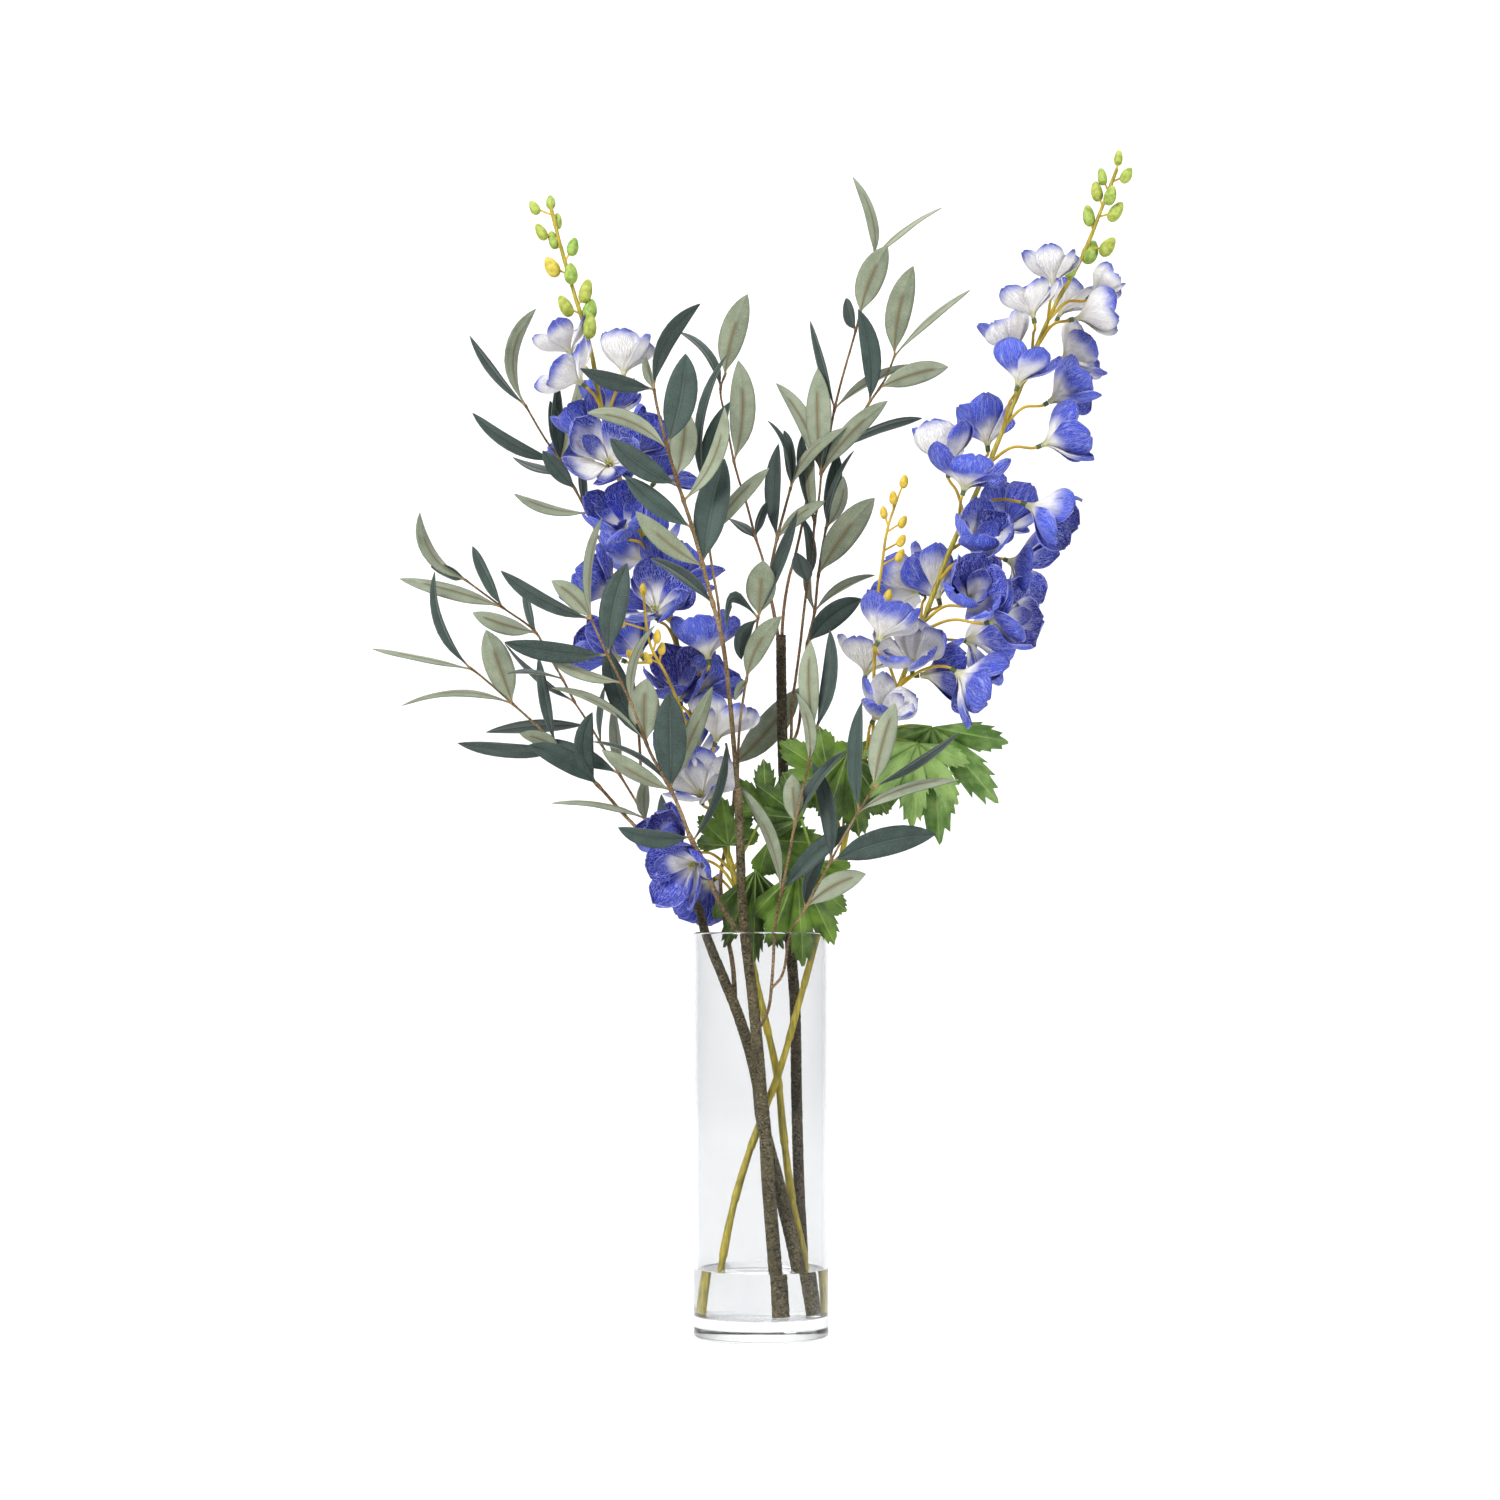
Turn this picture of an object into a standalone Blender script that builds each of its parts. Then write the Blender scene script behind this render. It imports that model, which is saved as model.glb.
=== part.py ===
"""Two delphiniums and three olive branches in a clear cylinder vase.

The scene is in metres with +Z up, and the viewer stands on the -Y side. The
tables are in millimetres, as read off the picture: across from the axis of
the vase, up from the table, and depth behind that axis. A leaf or a floret
keeps its place in the picture, and code picks a depth at which it clears
what is already standing there.
"""

import math
import random

import bmesh
import bpy
from mathutils import Matrix, Vector
from mathutils.bvhtree import BVHTree

MM = 0.001

# The view that the tables were read from.
VIEW_DISTANCE = 2330.0
VIEW_HEIGHT = 300.0
VIEW_ACROSS = -8.0

# Vase and water. The foot of each stem stands just off the floor of the vase.
VASE_RADIUS = 50.0
VASE_WALL = 3.0
VASE_HEIGHT = 300.0
VASE_FLOOR = 16.0
VASE_FOOT_ROUND = 2.5
VASE_FLOOR_ROUND = 3.0
VASE_RIM_ROUND = 1.0
VASE_STEPS = 40
WATER_TOP = 51.0
WATER_GAP = 0.3
WATER_STEPS = 32
STEM_FIT = 0.35
FOOT_GAP = 0.4
HOLE_REACH = 12.0
VASE_BARS = 24

# Olive leaves: each row is its share of the leaf's run and of its width.
LEAF_THICK = 0.7
LEAF_FULL_WIDTH = 15.0
LEAF_FOLD = 0.14
PETIOLE_WIDTH = 1.6
LEAF_ROWS = ((0.0, 0.0), (0.3, 0.86), (0.68, 0.92))

# Lobed leaves: each lobe is its angle and its share of the leaf's reach.
LOBED_THICK = 0.8
LOBED_LOBES = ((-104, 0.66), (-52, 0.86), (0, 1.0), (52, 0.86), (104, 0.66))
LOBE_TURN = 26.0
LOBE_CUP = 0.05
LEAF_STALK_RADII = (1.3, 1.0)

# Florets: each ring is its distance from the axis and its height on it.
PETAL_THICK = 0.8
FLORET_LOBES = 5
FLORET_MIDDLE = 20.0
FLORET_THROAT = (2.2, 0.0)
PETAL_BELLY = (18.5, 16.0)
PETAL_NOTCH = (15.5, 23.0)
PETAL_TIP = (23.5, 34.0)
PETAL_TIP_TURN = 18.0
FLORET_STAND_OFF = 34.0
PEDICEL_DROP = 28.0
PEDICEL_RADIUS = 1.1
PEDICEL_ARCH = 6.0
COLLAR_RADIUS = 1.9
COLLAR_LENGTH = 4.0
SEAT_GAP = 0.35

# Buds and the sprigs that carry some of them.
TIP_BUD_SIZE = 8.0
SPRIG_BUD_SIZE = 5.0
TIP_BUD_SHARES = (0.74, 1.18)
BUD_DROP = 9.0
BUD_RISE = 1.2
BUD_STALK_RADIUS = 0.8
SPRIG_RADII = (1.3, 0.9)

# Finding a clear place: the dice's seed, the room kept round each thing, what
# one crossing costs, and how far each try moves in depth.
DICE_SEED = 7
SPARE_ROOM = 0.35
CROSSING = 100
LEAF_STEP = 7.0
FLORET_STEP = 5.0
LOBED_STEP = 3.0

# The share of the triangles kept after a union, which splits flat faces.
KEPT_SHARE = 0.54

# Each twig: radius at its start, radius at its end, sides, then its route.
# Each leaf: where its base and tip show, the width that shows, the side that
# faces the viewer, how far it bulges to the left of its run, and the depth
# that its tip leans back by.
DARK = 1
PALE = -1

OLIVE_LEFT = (
    (5.6, 2.3, 8, ((33, 17, -9), (26.7, 55.6, -7), (14, 108.9, -5), (0.7, 160.7, -3.5),
                   (-3, 190.4, -3), (-15.6, 234.8, 0), (-28, 266, 2), (-41, 298, 4),
                   (-47.4, 320, 12), (-60, 341, 22), (-75.6, 359, 30), (-88, 373, 36)),
     ((-62, 343, -74, 402, 12, DARK, 0, 16),)),
    (1.7, 1.1, 5, ((-86, 371, 35), (-100.7, 386, 42), (-120.3, 408, 50), (-134, 421, 54),
                   (-147.6, 434, 58)),
     ((-120, 408, -173, 438.5, 17, DARK, -5, -6), (-122, 410, -125, 463, 15, DARK, 8, -14),
      (-147.6, 434, -225, 440, 12, DARK, 2, 10), (-147.6, 434, -179, 447, 11, PALE, -2, -10))),
    (1.2, 0.9, 4, ((-147, 433.5, 58), (-162, 449, 62), (-184, 469, 66), (-208, 490, 70),
                   (-216, 496, 72)),
     ((-152, 440, -165, 504, 9, DARK, 2, 12), (-184, 469, -204, 524, 22, PALE, 0, -8),
      (-184, 469, -266, 468, 6, PALE, -8, 4), (-214, 495, -288, 510, 5, PALE, 0, 8),
      (-216, 496, -242, 567, 8, DARK, 9, -6))),
    (1.2, 0.9, 4, ((-78, 362, 31), (-86, 384, 40), (-105, 417, 52), (-119, 440, 58),
                   (-129.8, 457.6, 62), (-138.7, 471, 66)),
     ((-86, 384, -155, 395.5, 5, PALE, -5, 6), (-84, 382, -86, 413, 5, PALE, 1, 6),
      (-105, 417, -172, 442, 12, DARK, -3, -4), (-104, 416, -109, 469, 8, PALE, 1, 8),
      (-119, 440, -116, 482, 5, DARK, 2, 6), (-127, 453, -204, 448, 9, DARK, -5, 8),
      (-138.7, 471, -190, 514, 5, DARK, 4, 8))),
    (1.1, 0.9, 4, ((-138, 470, 66), (-148, 489, 70), (-158, 506, 74), (-167, 522, 78),
                   (-191.5, 540.5, 84), (-219.6, 561.3, 90)),
     ((-147, 488, -188, 491.5, 5, PALE, 0, -8), (-167, 522, -214, 537, 14, PALE, 2, -10),
      (-167, 522, -175, 558, 7, DARK, 1, 10), (-192, 541, -268, 562, 12, PALE, -3, -6),
      (-192, 541, -214, 586, 9, DARK, 0, 12), (-219.6, 561, -253, 611, 10, PALE, 9, -4),
      (-219, 561, -245, 571, 8, DARK, -2, 14))),
    (1.3, 0.9, 4, ((-88, 388, 42), (-91, 450, 68), (-100, 520, 80), (-113, 574, 80),
                   (-124, 600, 78), (-128.9, 610.7, 77), (-144, 640, 76), (-148.6, 648.6, 76),
                   (-161.6, 668, 78), (-175, 691, 80)),
     ((-129, 611, -183, 625, 9, PALE, 3, -4), (-130, 613, -132.5, 649, 6, DARK, 1, 6),
      (-129, 611, -121, 623, 5, DARK, 0, 2), (-138, 628, -162, 657, 12, DARK, 0, -8),
      (-144, 640, -184, 652, 8, DARK, 3, 10), (-149, 649, -214, 685, 9, DARK, 4, 2),
      (-149, 649, -156.5, 694, 10, DARK, 1, -8), (-149, 649, -134, 717, 10, PALE, -2, 4),
      (-149, 650, -151, 708, 8, DARK, 2, 14), (-175, 691, -167, 762, 9, PALE, 12, -4),
      (-174, 690, -216, 742, 6, DARK, 4, 8))),
    (2.2, 1.1, 5, ((-19, 243, 0), (-21, 275, 5), (-25.9, 302, 8), (-30, 338, 12),
                   (-25, 370, 24), (-20, 405, 36), (-26, 440, 44)),
     ((-22, 422, 28, 481, 22, PALE, -3, 24),)),
)

OLIVE_FRONT = (
    (5.4, 3.0, 8, ((12, 17, -12), (10.4, 51, -14), (5.2, 116, -16), (3, 153, -16.5),
                   (0.7, 175.6, -16.5), (-3, 220, -17.5), (-6.7, 257, -19.5), (-11.9, 298, -22),
                   (-14, 324, -28), (-15.5, 365, -37), (-17, 407, -45)), ()),
    (2.1, 1.1, 6, ((-16.8, 400, -44), (-20, 436, -51), (-23.4, 473.5, -57), (-29.3, 519, -65),
                   (-35.3, 541.5, -68), (-42.9, 570.6, -72), (-52, 603, -77),
                   (-57.4, 619.5, -80), (-64.7, 642.4, -84), (-69.4, 659, -87),
                   (-77.2, 690, -92), (-79.5, 702.7, -94)),
     ((-37, 543, -82, 577, 10, DARK, -2, 4), (-43, 571, -93, 612, 15, PALE, 3, -4),
      (-43, 572, -27, 651, 24, DARK, 2, 8), (-50, 600, -101, 638, 15, DARK, 2, 12),
      (-57.4, 620, -27, 689, 12, PALE, -7, -8), (-61, 632, -112, 666, 17, DARK, 4, 8),
      (-63, 637, -56.5, 688, 20, PALE, -2, 16), (-69, 658, -129, 685, 10, PALE, -7, -2),
      (-70, 661, -56, 729, 23, DARK, -3, -6), (-79.5, 703, -134, 718, 11, DARK, 1, -4),
      (-79, 703, -85, 726, 7, PALE, 1, 4), (-79.5, 703, -45, 766, 11, DARK, 11, 6))),
    (1.2, 0.9, 4, ((-29, 516, -65), (-32, 545, -64), (-37, 575, -62), (-40, 600, -62),
                   (-42, 630, -64)),
     ((-38, 592, 6, 644, 12, PALE, 3, 10), (-42, 629, -23, 693, 13, DARK, 4, 6),
      (-42, 630, -41, 661, 8, PALE, 0, -4), (-42, 628, -24.5, 729, 7, DARK, 9, 14))),
    (1.2, 0.9, 4, ((-17.4, 412, -46), (-16, 451, -44), (-11, 486, -42), (-6, 510, -42),
                   (-2, 534, -42)),
     ((-11, 487, 15, 534, 16, PALE, 5, -4), (-11, 487, -20, 472, 5, PALE, 0, -6),
      (-2, 534, 1.6, 575.5, 22, PALE, 0, -6), (-2, 534, 27, 612, 9, DARK, -4, 8),
      (-3, 533, -26, 526, 10, DARK, -20, 8), (-3, 532, -14.5, 502, 10, DARK, -6, 4))),
    (2.2, 1.2, 5, ((-17, 300, -24), (-30, 320, -28), (-37.8, 339, -36), (-45, 357, -42),
                   (-51.4, 368, -46), (-60, 390, -52), (-67.6, 407, -56), (-82, 432.7, -62),
                   (-85.5, 441, -64)),
     ((-51, 367, -26, 438, 6, DARK, -5, -6), (-52, 371, -106, 377.5, 10, DARK, 4, -6),
      (-67, 405, -67.6, 478, 24, DARK, 0, -10), (-67, 405, -118, 435, 12, PALE, 2, -6),
      (-70, 411, -125, 441, 12, DARK, -6, 6), (-67, 407, -36, 482, 12, PALE, 0, 8),
      (-85, 440, -84.6, 488, 23, PALE, 2, -6), (-85.5, 441, -114.6, 511, 19, DARK, 4, 4),
      (-86, 443, -155.6, 481, 5, PALE, -7, 6))),
    (1.2, 1.0, 4, ((-85, 440, -64), (-95, 466, -72), (-106, 490, -76), (-115.6, 509, -78),
                   (-126, 532, -80)),
     ((-96, 468, -79, 527, 6, PALE, 5, -4), (-104, 485, -158, 504, 9, PALE, 3, 4),
      (-113, 505, -99.4, 573.5, 20, DARK, 3, 6), (-113, 506, -190.5, 515, 15, DARK, 3, -2),
      (-126, 532, -193, 568, 10, DARK, 3, 2), (-126, 532, -155.6, 560.5, 15, PALE, -3, 12),
      (-126, 532, -118, 607, 6, PALE, 3, 8))),
    (1.4, 1.0, 5, ((-3, 226, -17), (5, 242, -22), (8, 265, -25), (10.4, 303.5, -28),
                   (14.8, 328.4, -36), (20, 353, -43), (25, 380, -50), (30, 402, -55),
                   (35.3, 425, -60), (40, 450, -62)),
     ((14.8, 329, -15.3, 407, 9, PALE, -5, -6), (15, 330, 69, 380, 14, DARK, 4, -6),
      (25, 380, 23, 417, 15, PALE, 0, -8), (25, 381, 62.4, 434, 8, DARK, 2, 4),
      (35, 425, 26.5, 477, 9, PALE, -4, -6), (40, 449, 37, 516, 15, PALE, 3, -4),
      (40, 449, 51, 524, 11, DARK, -8, 8))),
    (1.2, 0.9, 4, ((7, 258, -24), (14.8, 267, -26), (21.5, 298, -30), (32.3, 316.7, -38),
                   (51.4, 351.9, -55), (61, 370, -61), (71.9, 388.5, -67), (83.6, 407.5, -75)),
     ((33, 318, 77.7, 343, 17, PALE, 4, -8), (33, 318, 48.4, 358, 10, DARK, 5, 4),
      (51.4, 352, 129.7, 372.5, 21, DARK, 4, -4), (51, 352, 38.2, 426, 12, DARK, -5, 6),
      (72, 389, 146.6, 412.6, 9, PALE, 5, -4), (72.5, 390, 74.8, 470.5, 11, DARK, 2, 4),
      (84, 408, 99.7, 469.7, 18, PALE, 2, 6), (84, 408, 146.6, 448, 6, DARK, 1, -4))),
)

OLIVE_BACK = (
    (4.4, 3.8, 8, ((32, 17, 22), (31, 64.5, 22), (28.9, 101.5, 21), (26.7, 175.6, 18),
                   (25.2, 249.6, 18), (21.5, 298, 24), (18.5, 365, 31), (16.3, 427, 36),
                   (15.2, 475, 41), (14.8, 520, 45)), ()),
    (1.5, 1.1, 5, ((15, 512, 44), (17, 540, 50), (20.6, 562, 56), (25, 578, 60),
                   (30, 600, 66), (34, 622, 70)), ()),
    (1.7, 1.1, 5, ((14.4, 508, 44), (9.5, 537, 48), (6, 556, 52), (7.4, 570, 54),
                   (11.8, 591.6, 58), (18, 615, 62), (22, 629.6, 64)),
     ((12, 592, 13, 662, 12, DARK, 4, 6), (12, 592, 47.7, 619.5, 11, PALE, 4, -8),
      (22, 629, 5, 679, 6, DARK, -4, -4), (22, 630, 17, 672, 8, DARK, -4, 8),
      (22, 630, 63, 674, 10, PALE, 8, -8))),
    (1.2, 0.9, 4, ((6, 552, 51), (1, 577, 54), (-3.9, 592, 56), (-10.6, 617, 60),
                   (-16.9, 637, 63), (-20, 648.6, 65), (-26, 680, 68), (-30, 703, 70),
                   (-26, 715, 70)),
     ((-4, 592, -24, 606.5, 8, DARK, 0, 6), (-4, 593, 4.5, 619, 6, DARK, 2, -4),
      (-20, 649, -17, 724, 20, PALE, -5, -8), (-27, 712, -10, 773, 20, PALE, 3, -4),
      (-30, 703, -61, 745, 8, DARK, -6, 6))),
    (1.4, 1.0, 5, ((17, 414, 35), (22, 441, 40), (23, 470, 44), (25.5, 487, 46),
                   (29, 513, 49), (32, 540, 52), (34.5, 559, 54), (38, 580, 57),
                   (39.7, 603, 60), (43, 622, 62), (44.8, 641.4, 64)),
     ((34.5, 560, 31, 607, 8, DARK, -3, 4), (34, 559, 27, 581, 5, DARK, 0, -6),
      (39.7, 603, 30, 668, 11, DARK, 3, 10), (39.7, 604, 38, 660, 9, PALE, 3, 2),
      (44.8, 641, 42, 718, 23, PALE, 1, 6), (44, 640, 11, 707, 13, PALE, -5, 2),
      (44.8, 642, 51, 667, 7, DARK, 0, -8), (45, 641, 94, 694, 15, PALE, 4, -14))),
    (1.4, 1.1, 4, ((22, 438, 39), (27, 449, 41), (30.5, 482, 46), (34, 512, 50),
                   (39.7, 537.4, 56), (42, 560, 60), (45, 582, 64), (48.4, 600.3, 67)),
     ((35, 514, 74.8, 547, 18, DARK, 4, -8), (39.7, 538, 84.3, 564.5, 5, PALE, 5, -4),
      (39.5, 538, 37, 575, 6, PALE, 2, 8), (43, 565, 84.3, 622, 22, PALE, 3, -6),
      (48, 600, 57, 655, 12, DARK, 0, 12), (48, 600, 61, 638, 10, PALE, -4, -6),
      (48, 601, 69, 657, 5, DARK, 2, 4))),
    (1.2, 0.9, 4, ((44, 639, 64), (50, 665, 70), (55, 690, 75), (60, 710, 79),
                   (68, 738, 84), (75, 764, 88), (84, 800, 94)),
     ((54, 688, 36.5, 753, 5, DARK, -3, 8), (55, 688, 117, 720, 5, PALE, 4, 8),
      (70, 746, 63, 770, 8, DARK, 0, 10), (75, 757, 94, 809, 21, PALE, 3, -10),
      (84, 800, 68, 860, 10, PALE, -5, 6), (84, 799, 134, 837, 6, PALE, 3, 2))),
    (1.2, 0.9, 4, ((45, 641, 64), (56, 656, 67), (68, 674, 70), (80, 692, 73),
                   (92, 710, 76), (99, 727, 79)),
     ((57, 657, 119.5, 681, 5, DARK, 4, 8), (80, 692, 72, 762, 12, DARK, -6, -6),
      (88, 703, 139, 719, 17, PALE, 3, -4), (99, 727, 113, 794, 20, PALE, 4, 4),
      (99, 727, 155, 776, 6, PALE, 6, -6))),
)

# The stalk of each delphinium, then its florets: where the middle and the
# base of each show, whether it is in front of the stalk, beside it or behind
# it, and its size. The sprig, the tip buds and the lobed leaves follow.
FRONT = -1
BESIDE = 0
BEHIND = 1

STALK_LEFT = ((36, 17, 7.6), (32.6, 53, 8.6), (23, 101.5, 10), (16.3, 153, 11.5), (12.6, 190, 12.4),
              (3, 234.8, 8), (-3, 260.7, 5), (-11.9, 301.5, 2), (-19.3, 338.5, 2),
              (-30.4, 375.6, 8), (-45.2, 427.4, 15), (-52.6, 472, 16), (-60, 500.7, 16),
              (-68.5, 540, 18), (-80.4, 575.6, 20), (-104.4, 634.8, 21), (-119.3, 694, 22),
              (-127, 735, 22), (-139, 775, 23), (-149, 810, 24), (-156, 838, 25))
STALK_RIGHT = ((-34, 17, 5), (-28.9, 55.6, 5), (-19.3, 101.5, 5), (-8, 138.5, 5), (3, 168, 5),
               (14, 197.8, 3.6), (28.9, 249.6, 4), (43.3, 300, 3), (54.8, 331, 3), (62.2, 368, 2),
               (80, 438, 0), (98, 472, 0), (119.8, 529.4, 0), (141, 585, 0), (163, 633.5, 0),
               (189.6, 697, 0), (217, 762.5, 0), (237.6, 799.5, 0), (252.6, 836.5, 0),
               (264, 866, 0))
STALK_RADII = (3.2, 1.4)

FLORETS_LEFT = (
    (-146, 742, -140, 726, BESIDE, 0.72), (-146, 718, -125, 700, FRONT, 0.86),
    (-100, 729, -103, 707, FRONT, 0.84), (-110, 697, -112, 680, BEHIND, 0.9),
    (-132, 683, -122, 668, BESIDE, 0.9), (-138, 659, -124, 648, BEHIND, 0.95),
    (-114, 654, -112, 645, FRONT, 1.0), (-86, 667, -96, 652, BESIDE, 0.95),
    (-66, 647, -80, 632, BEHIND, 0.9), (-105, 608, -100, 595, FRONT, 1.0),
    (-90, 590, -86, 574, BEHIND, 1.0), (-61, 572, -70, 557, BESIDE, 1.0),
    (-125, 560, -108, 548, BESIDE, 1.0), (-80, 548, -78, 535, FRONT, 1.0),
    (-122, 510, -104, 502, BESIDE, 1.0), (-97, 518, -88, 504, BEHIND, 1.0),
    (-42, 522, -39, 501, FRONT, 1.0), (-38, 488, -48, 476, BESIDE, 0.9),
    (-63, 487, -60, 472, FRONT, 1.0), (-30, 460, -34, 440, BESIDE, 0.95),
    (-46, 412, -44, 398, FRONT, 0.95), (-54, 440, -50, 424, BEHIND, 0.95),
    (-70, 371, -56, 362, BESIDE, 0.95), (-60, 346, -46, 352, FRONT, 1.0),
    (-46, 330, -36, 338, BEHIND, 0.9),
)
FLORETS_RIGHT = (
    (217, 794, 217, 778, FRONT, 0.74), (199, 771, 203, 751, FRONT, 0.78),
    (255, 780, 243, 770, BESIDE, 0.66), (228, 771, 218, 751, BEHIND, 0.8),
    (248, 758, 230, 754, BESIDE, 0.8), (184, 742, 191, 726, BESIDE, 0.82),
    (195, 722, 188, 697, FRONT, 0.88), (238, 732, 220, 722, BESIDE, 0.86),
    (229, 702, 210, 691, BESIDE, 0.9), (166, 677, 168, 660, BEHIND, 0.9),
    (137, 660, 138.6, 640, BESIDE, 0.95), (156, 646, 149, 623, FRONT, 0.95),
    (226, 668, 206, 660, BESIDE, 0.95), (184, 610, 180, 596, BEHIND, 1.0),
    (215, 610, 197, 617, FRONT, 1.0), (163, 592, 158, 578, FRONT, 1.0),
    (203, 568, 184, 575, BESIDE, 1.05), (157, 553, 154, 544, FRONT, 1.05),
    (128, 562, 132, 546, BESIDE, 0.95), (106, 560, 118, 552, BEHIND, 0.9),
    (187, 535, 170, 530, BESIDE, 1.0), (95, 533, 86, 514, FRONT, 0.95),
    (82, 508, 77, 488, BEHIND, 0.9), (111, 510, 112, 495, FRONT, 0.95),
    (138, 492, 116, 490, BESIDE, 1.0), (170, 515, 152, 516, BEHIND, 1.0),
    (160, 482, 143, 494, BESIDE, 0.95),
    (92, 470, 84, 458, FRONT, 0.85),
)

SPRIG_LEFT = ((-43, 420, 14), (-70, 490, -44), (-82, 512.6, -50), (-87.5, 553, -52))
SPRIG_RIGHT = ((83, 446, 0), (85.8, 543, -14), (89.4, 570, -16), (93.8, 599, -16), (101, 621, -16))
SPRIG_BUDS_LEFT = ((-73.6, 510), (-77, 519), (-96, 505), (-84, 503), (-87.5, 554), (-104, 530))
SPRIG_BUDS_RIGHT = ((106, 634), (98, 622), (91, 611), (105, 604), (104, 590), (103, 579), (94, 549))
TIP_BUDS_LEFT = ((-156, 841), (-168, 837), (-151, 827), (-163, 819), (-154, 813), (-139.5, 808),
                 (-155, 793), (-141, 788), (-130, 775), (-145, 764), (-127, 761), (-127, 749))
TIP_BUDS_RIGHT = ((265, 874), (271, 861), (253, 860), (259, 846), (249, 849), (263, 834),
                  (243, 831), (257, 808), (244, 804), (229, 794))

# Each lobed leaf: where it leaves the stalk, the knots of its leaf stalk, the
# point where its lobes meet, its middle tip, how far the lobes spread and
# how far out the notches between them are.
LOBED_LEFT = (
    ((-24, 354, 4), (), (-24, 364, -6), (-29, 400, -8), 0.75, 0.54),
    ((-21, 345, 3), (), (4, 390, -8), (2, 428, -12), 0.85, 0.45),
    ((-15, 318, 2), (), (-4, 346, -7), (-6, 274, -8), 0.4, 0.54),
)
LOBED_RIGHT = (
    ((61, 362, 2), (), (50, 416, -8), (14, 441, -12), 0.85, 0.56),
    ((57, 340, 2), ((40, 352, -4),), (27, 346, -9), (31, 276, -9), 0.46, 0.6),
    ((60, 358, 2), (), (64, 432, -14), (73, 372, -20), 0.5, 0.74),
    ((57, 342, 2), (), (42, 352, -14), (56, 318, -20), 0.6, 0.54),
    ((50, 318, 3), (), (30, 384, -14), (-4, 410, -18), 0.6, 0.5),
    ((50, 318, 3), ((34, 350, -4),), (6, 368, -14), (46, 366, -20), 1.0, 0.6),
    ((78, 430, 0), ((90, 447, -4), (108, 453, -8)), (127, 452, -10), (133, 364, -16), 0.72, 0.34),
    ((78, 430, 0), ((92, 442, -8),), (116, 440, -24), (112, 378, -30), 0.72, 0.36),
)


def spot(across, up, depth):
    """Where a thing stands that shows at this place and lies this far back."""
    grow = (VIEW_DISTANCE + depth) / VIEW_DISTANCE
    real_up = VIEW_HEIGHT + (up - VIEW_HEIGHT) * grow if up > VIEW_HEIGHT else up
    return Vector((VIEW_ACROSS + (across - VIEW_ACROSS) * grow, depth, real_up))


def clear_scene():
    for thing in list(bpy.data.objects):
        bpy.data.objects.remove(thing)
    for mesh in list(bpy.data.meshes):
        bpy.data.meshes.remove(mesh)


def principled(name, colour, rough, passes_light=0.0):
    material = bpy.data.materials.new(name)
    material.use_nodes = True
    shader = material.node_tree.nodes["Principled BSDF"]
    shader.inputs["Base Color"].default_value = (*colour, 1.0)
    shader.inputs["Roughness"].default_value = rough
    shader.inputs["Transmission Weight"].default_value = passes_light
    return material


def mesh_object(name, points, faces, collection=None):
    """An object in metres from points in millimetres."""
    mesh = bpy.data.meshes.new(name)
    mesh.from_pydata([tuple(p * MM for p in point) for point in points], [], faces)
    thing = bpy.data.objects.new(name, mesh)
    (collection or bpy.context.scene.collection).objects.link(thing)
    return thing


def settled(thing):
    """Turns an object with its modifiers into a plain mesh of triangles."""
    graph = bpy.context.evaluated_depsgraph_get()
    mesh = bpy.data.meshes.new_from_object(thing.evaluated_get(graph), depsgraph=graph)
    shape = bmesh.new()
    shape.from_mesh(mesh)
    bmesh.ops.remove_doubles(shape, verts=shape.verts, dist=1e-6)
    bmesh.ops.recalc_face_normals(shape, faces=shape.faces)
    bmesh.ops.triangulate(shape, faces=shape.faces)
    shape.to_mesh(mesh)
    shape.free()
    collection = thing.users_collection[0]
    name = thing.name
    bpy.data.objects.remove(thing)
    made = bpy.data.objects.new(name, mesh)
    collection.objects.link(made)
    return made


def tube(name, route, radii, sides, collection=None):
    """A stem: a bevelled curve through the route, with its caps filled."""
    curve = bpy.data.curves.new(name, "CURVE")
    curve.dimensions = "3D"
    curve.bevel_depth = MM
    curve.bevel_resolution = sides // 2 - 2 if sides > 4 else 0
    curve.use_fill_caps = True
    line = curve.splines.new("POLY")
    line.points.add(len(route) - 1)
    for knot, place, radius in zip(line.points, route, radii):
        knot.co = (*(place * MM), 1.0)
        knot.radius = radius
    thing = bpy.data.objects.new(name, curve)
    (collection or bpy.context.scene.collection).objects.link(thing)
    return settled(thing)


def blade_object(name, surface, thickness, collection=None):
    """A leaf or a cup of petals: its middle surface made solid."""
    points, faces = surface
    thing = mesh_object(name, points, faces, collection)
    solid = thing.modifiers.new("thickness", "SOLIDIFY")
    solid.thickness = thickness * MM
    solid.offset = 0.0
    return settled(thing)


def tapered(start, end, count):
    return [start + (end - start) * i / (count - 1) for i in range(count)]


def tube_shell(route, radii, spare):
    """Points and faces of a six-sided tube, to test whether it is clear of the rest."""
    points = []
    faces = []
    sides = 6
    for i, place in enumerate(route):
        ahead = route[min(i + 1, len(route) - 1)] - route[max(i - 1, 0)]
        side = ahead.cross(Vector((0, 1, 0))).normalized()
        other = ahead.cross(side).normalized()
        for k in range(sides):
            turn = 2 * math.pi * k / sides
            points.append(place + (side * math.cos(turn) + other * math.sin(turn)) * (radii[i] + spare))
        if i:
            for k in range(sides):
                a = (i - 1) * sides + k
                b = (i - 1) * sides + (k + 1) % sides
                faces.append((a, b, b + sides, a + sides))
    faces.append(tuple(range(sides)))
    faces.append(tuple(range(len(points) - sides, len(points))))
    return points, faces


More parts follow.
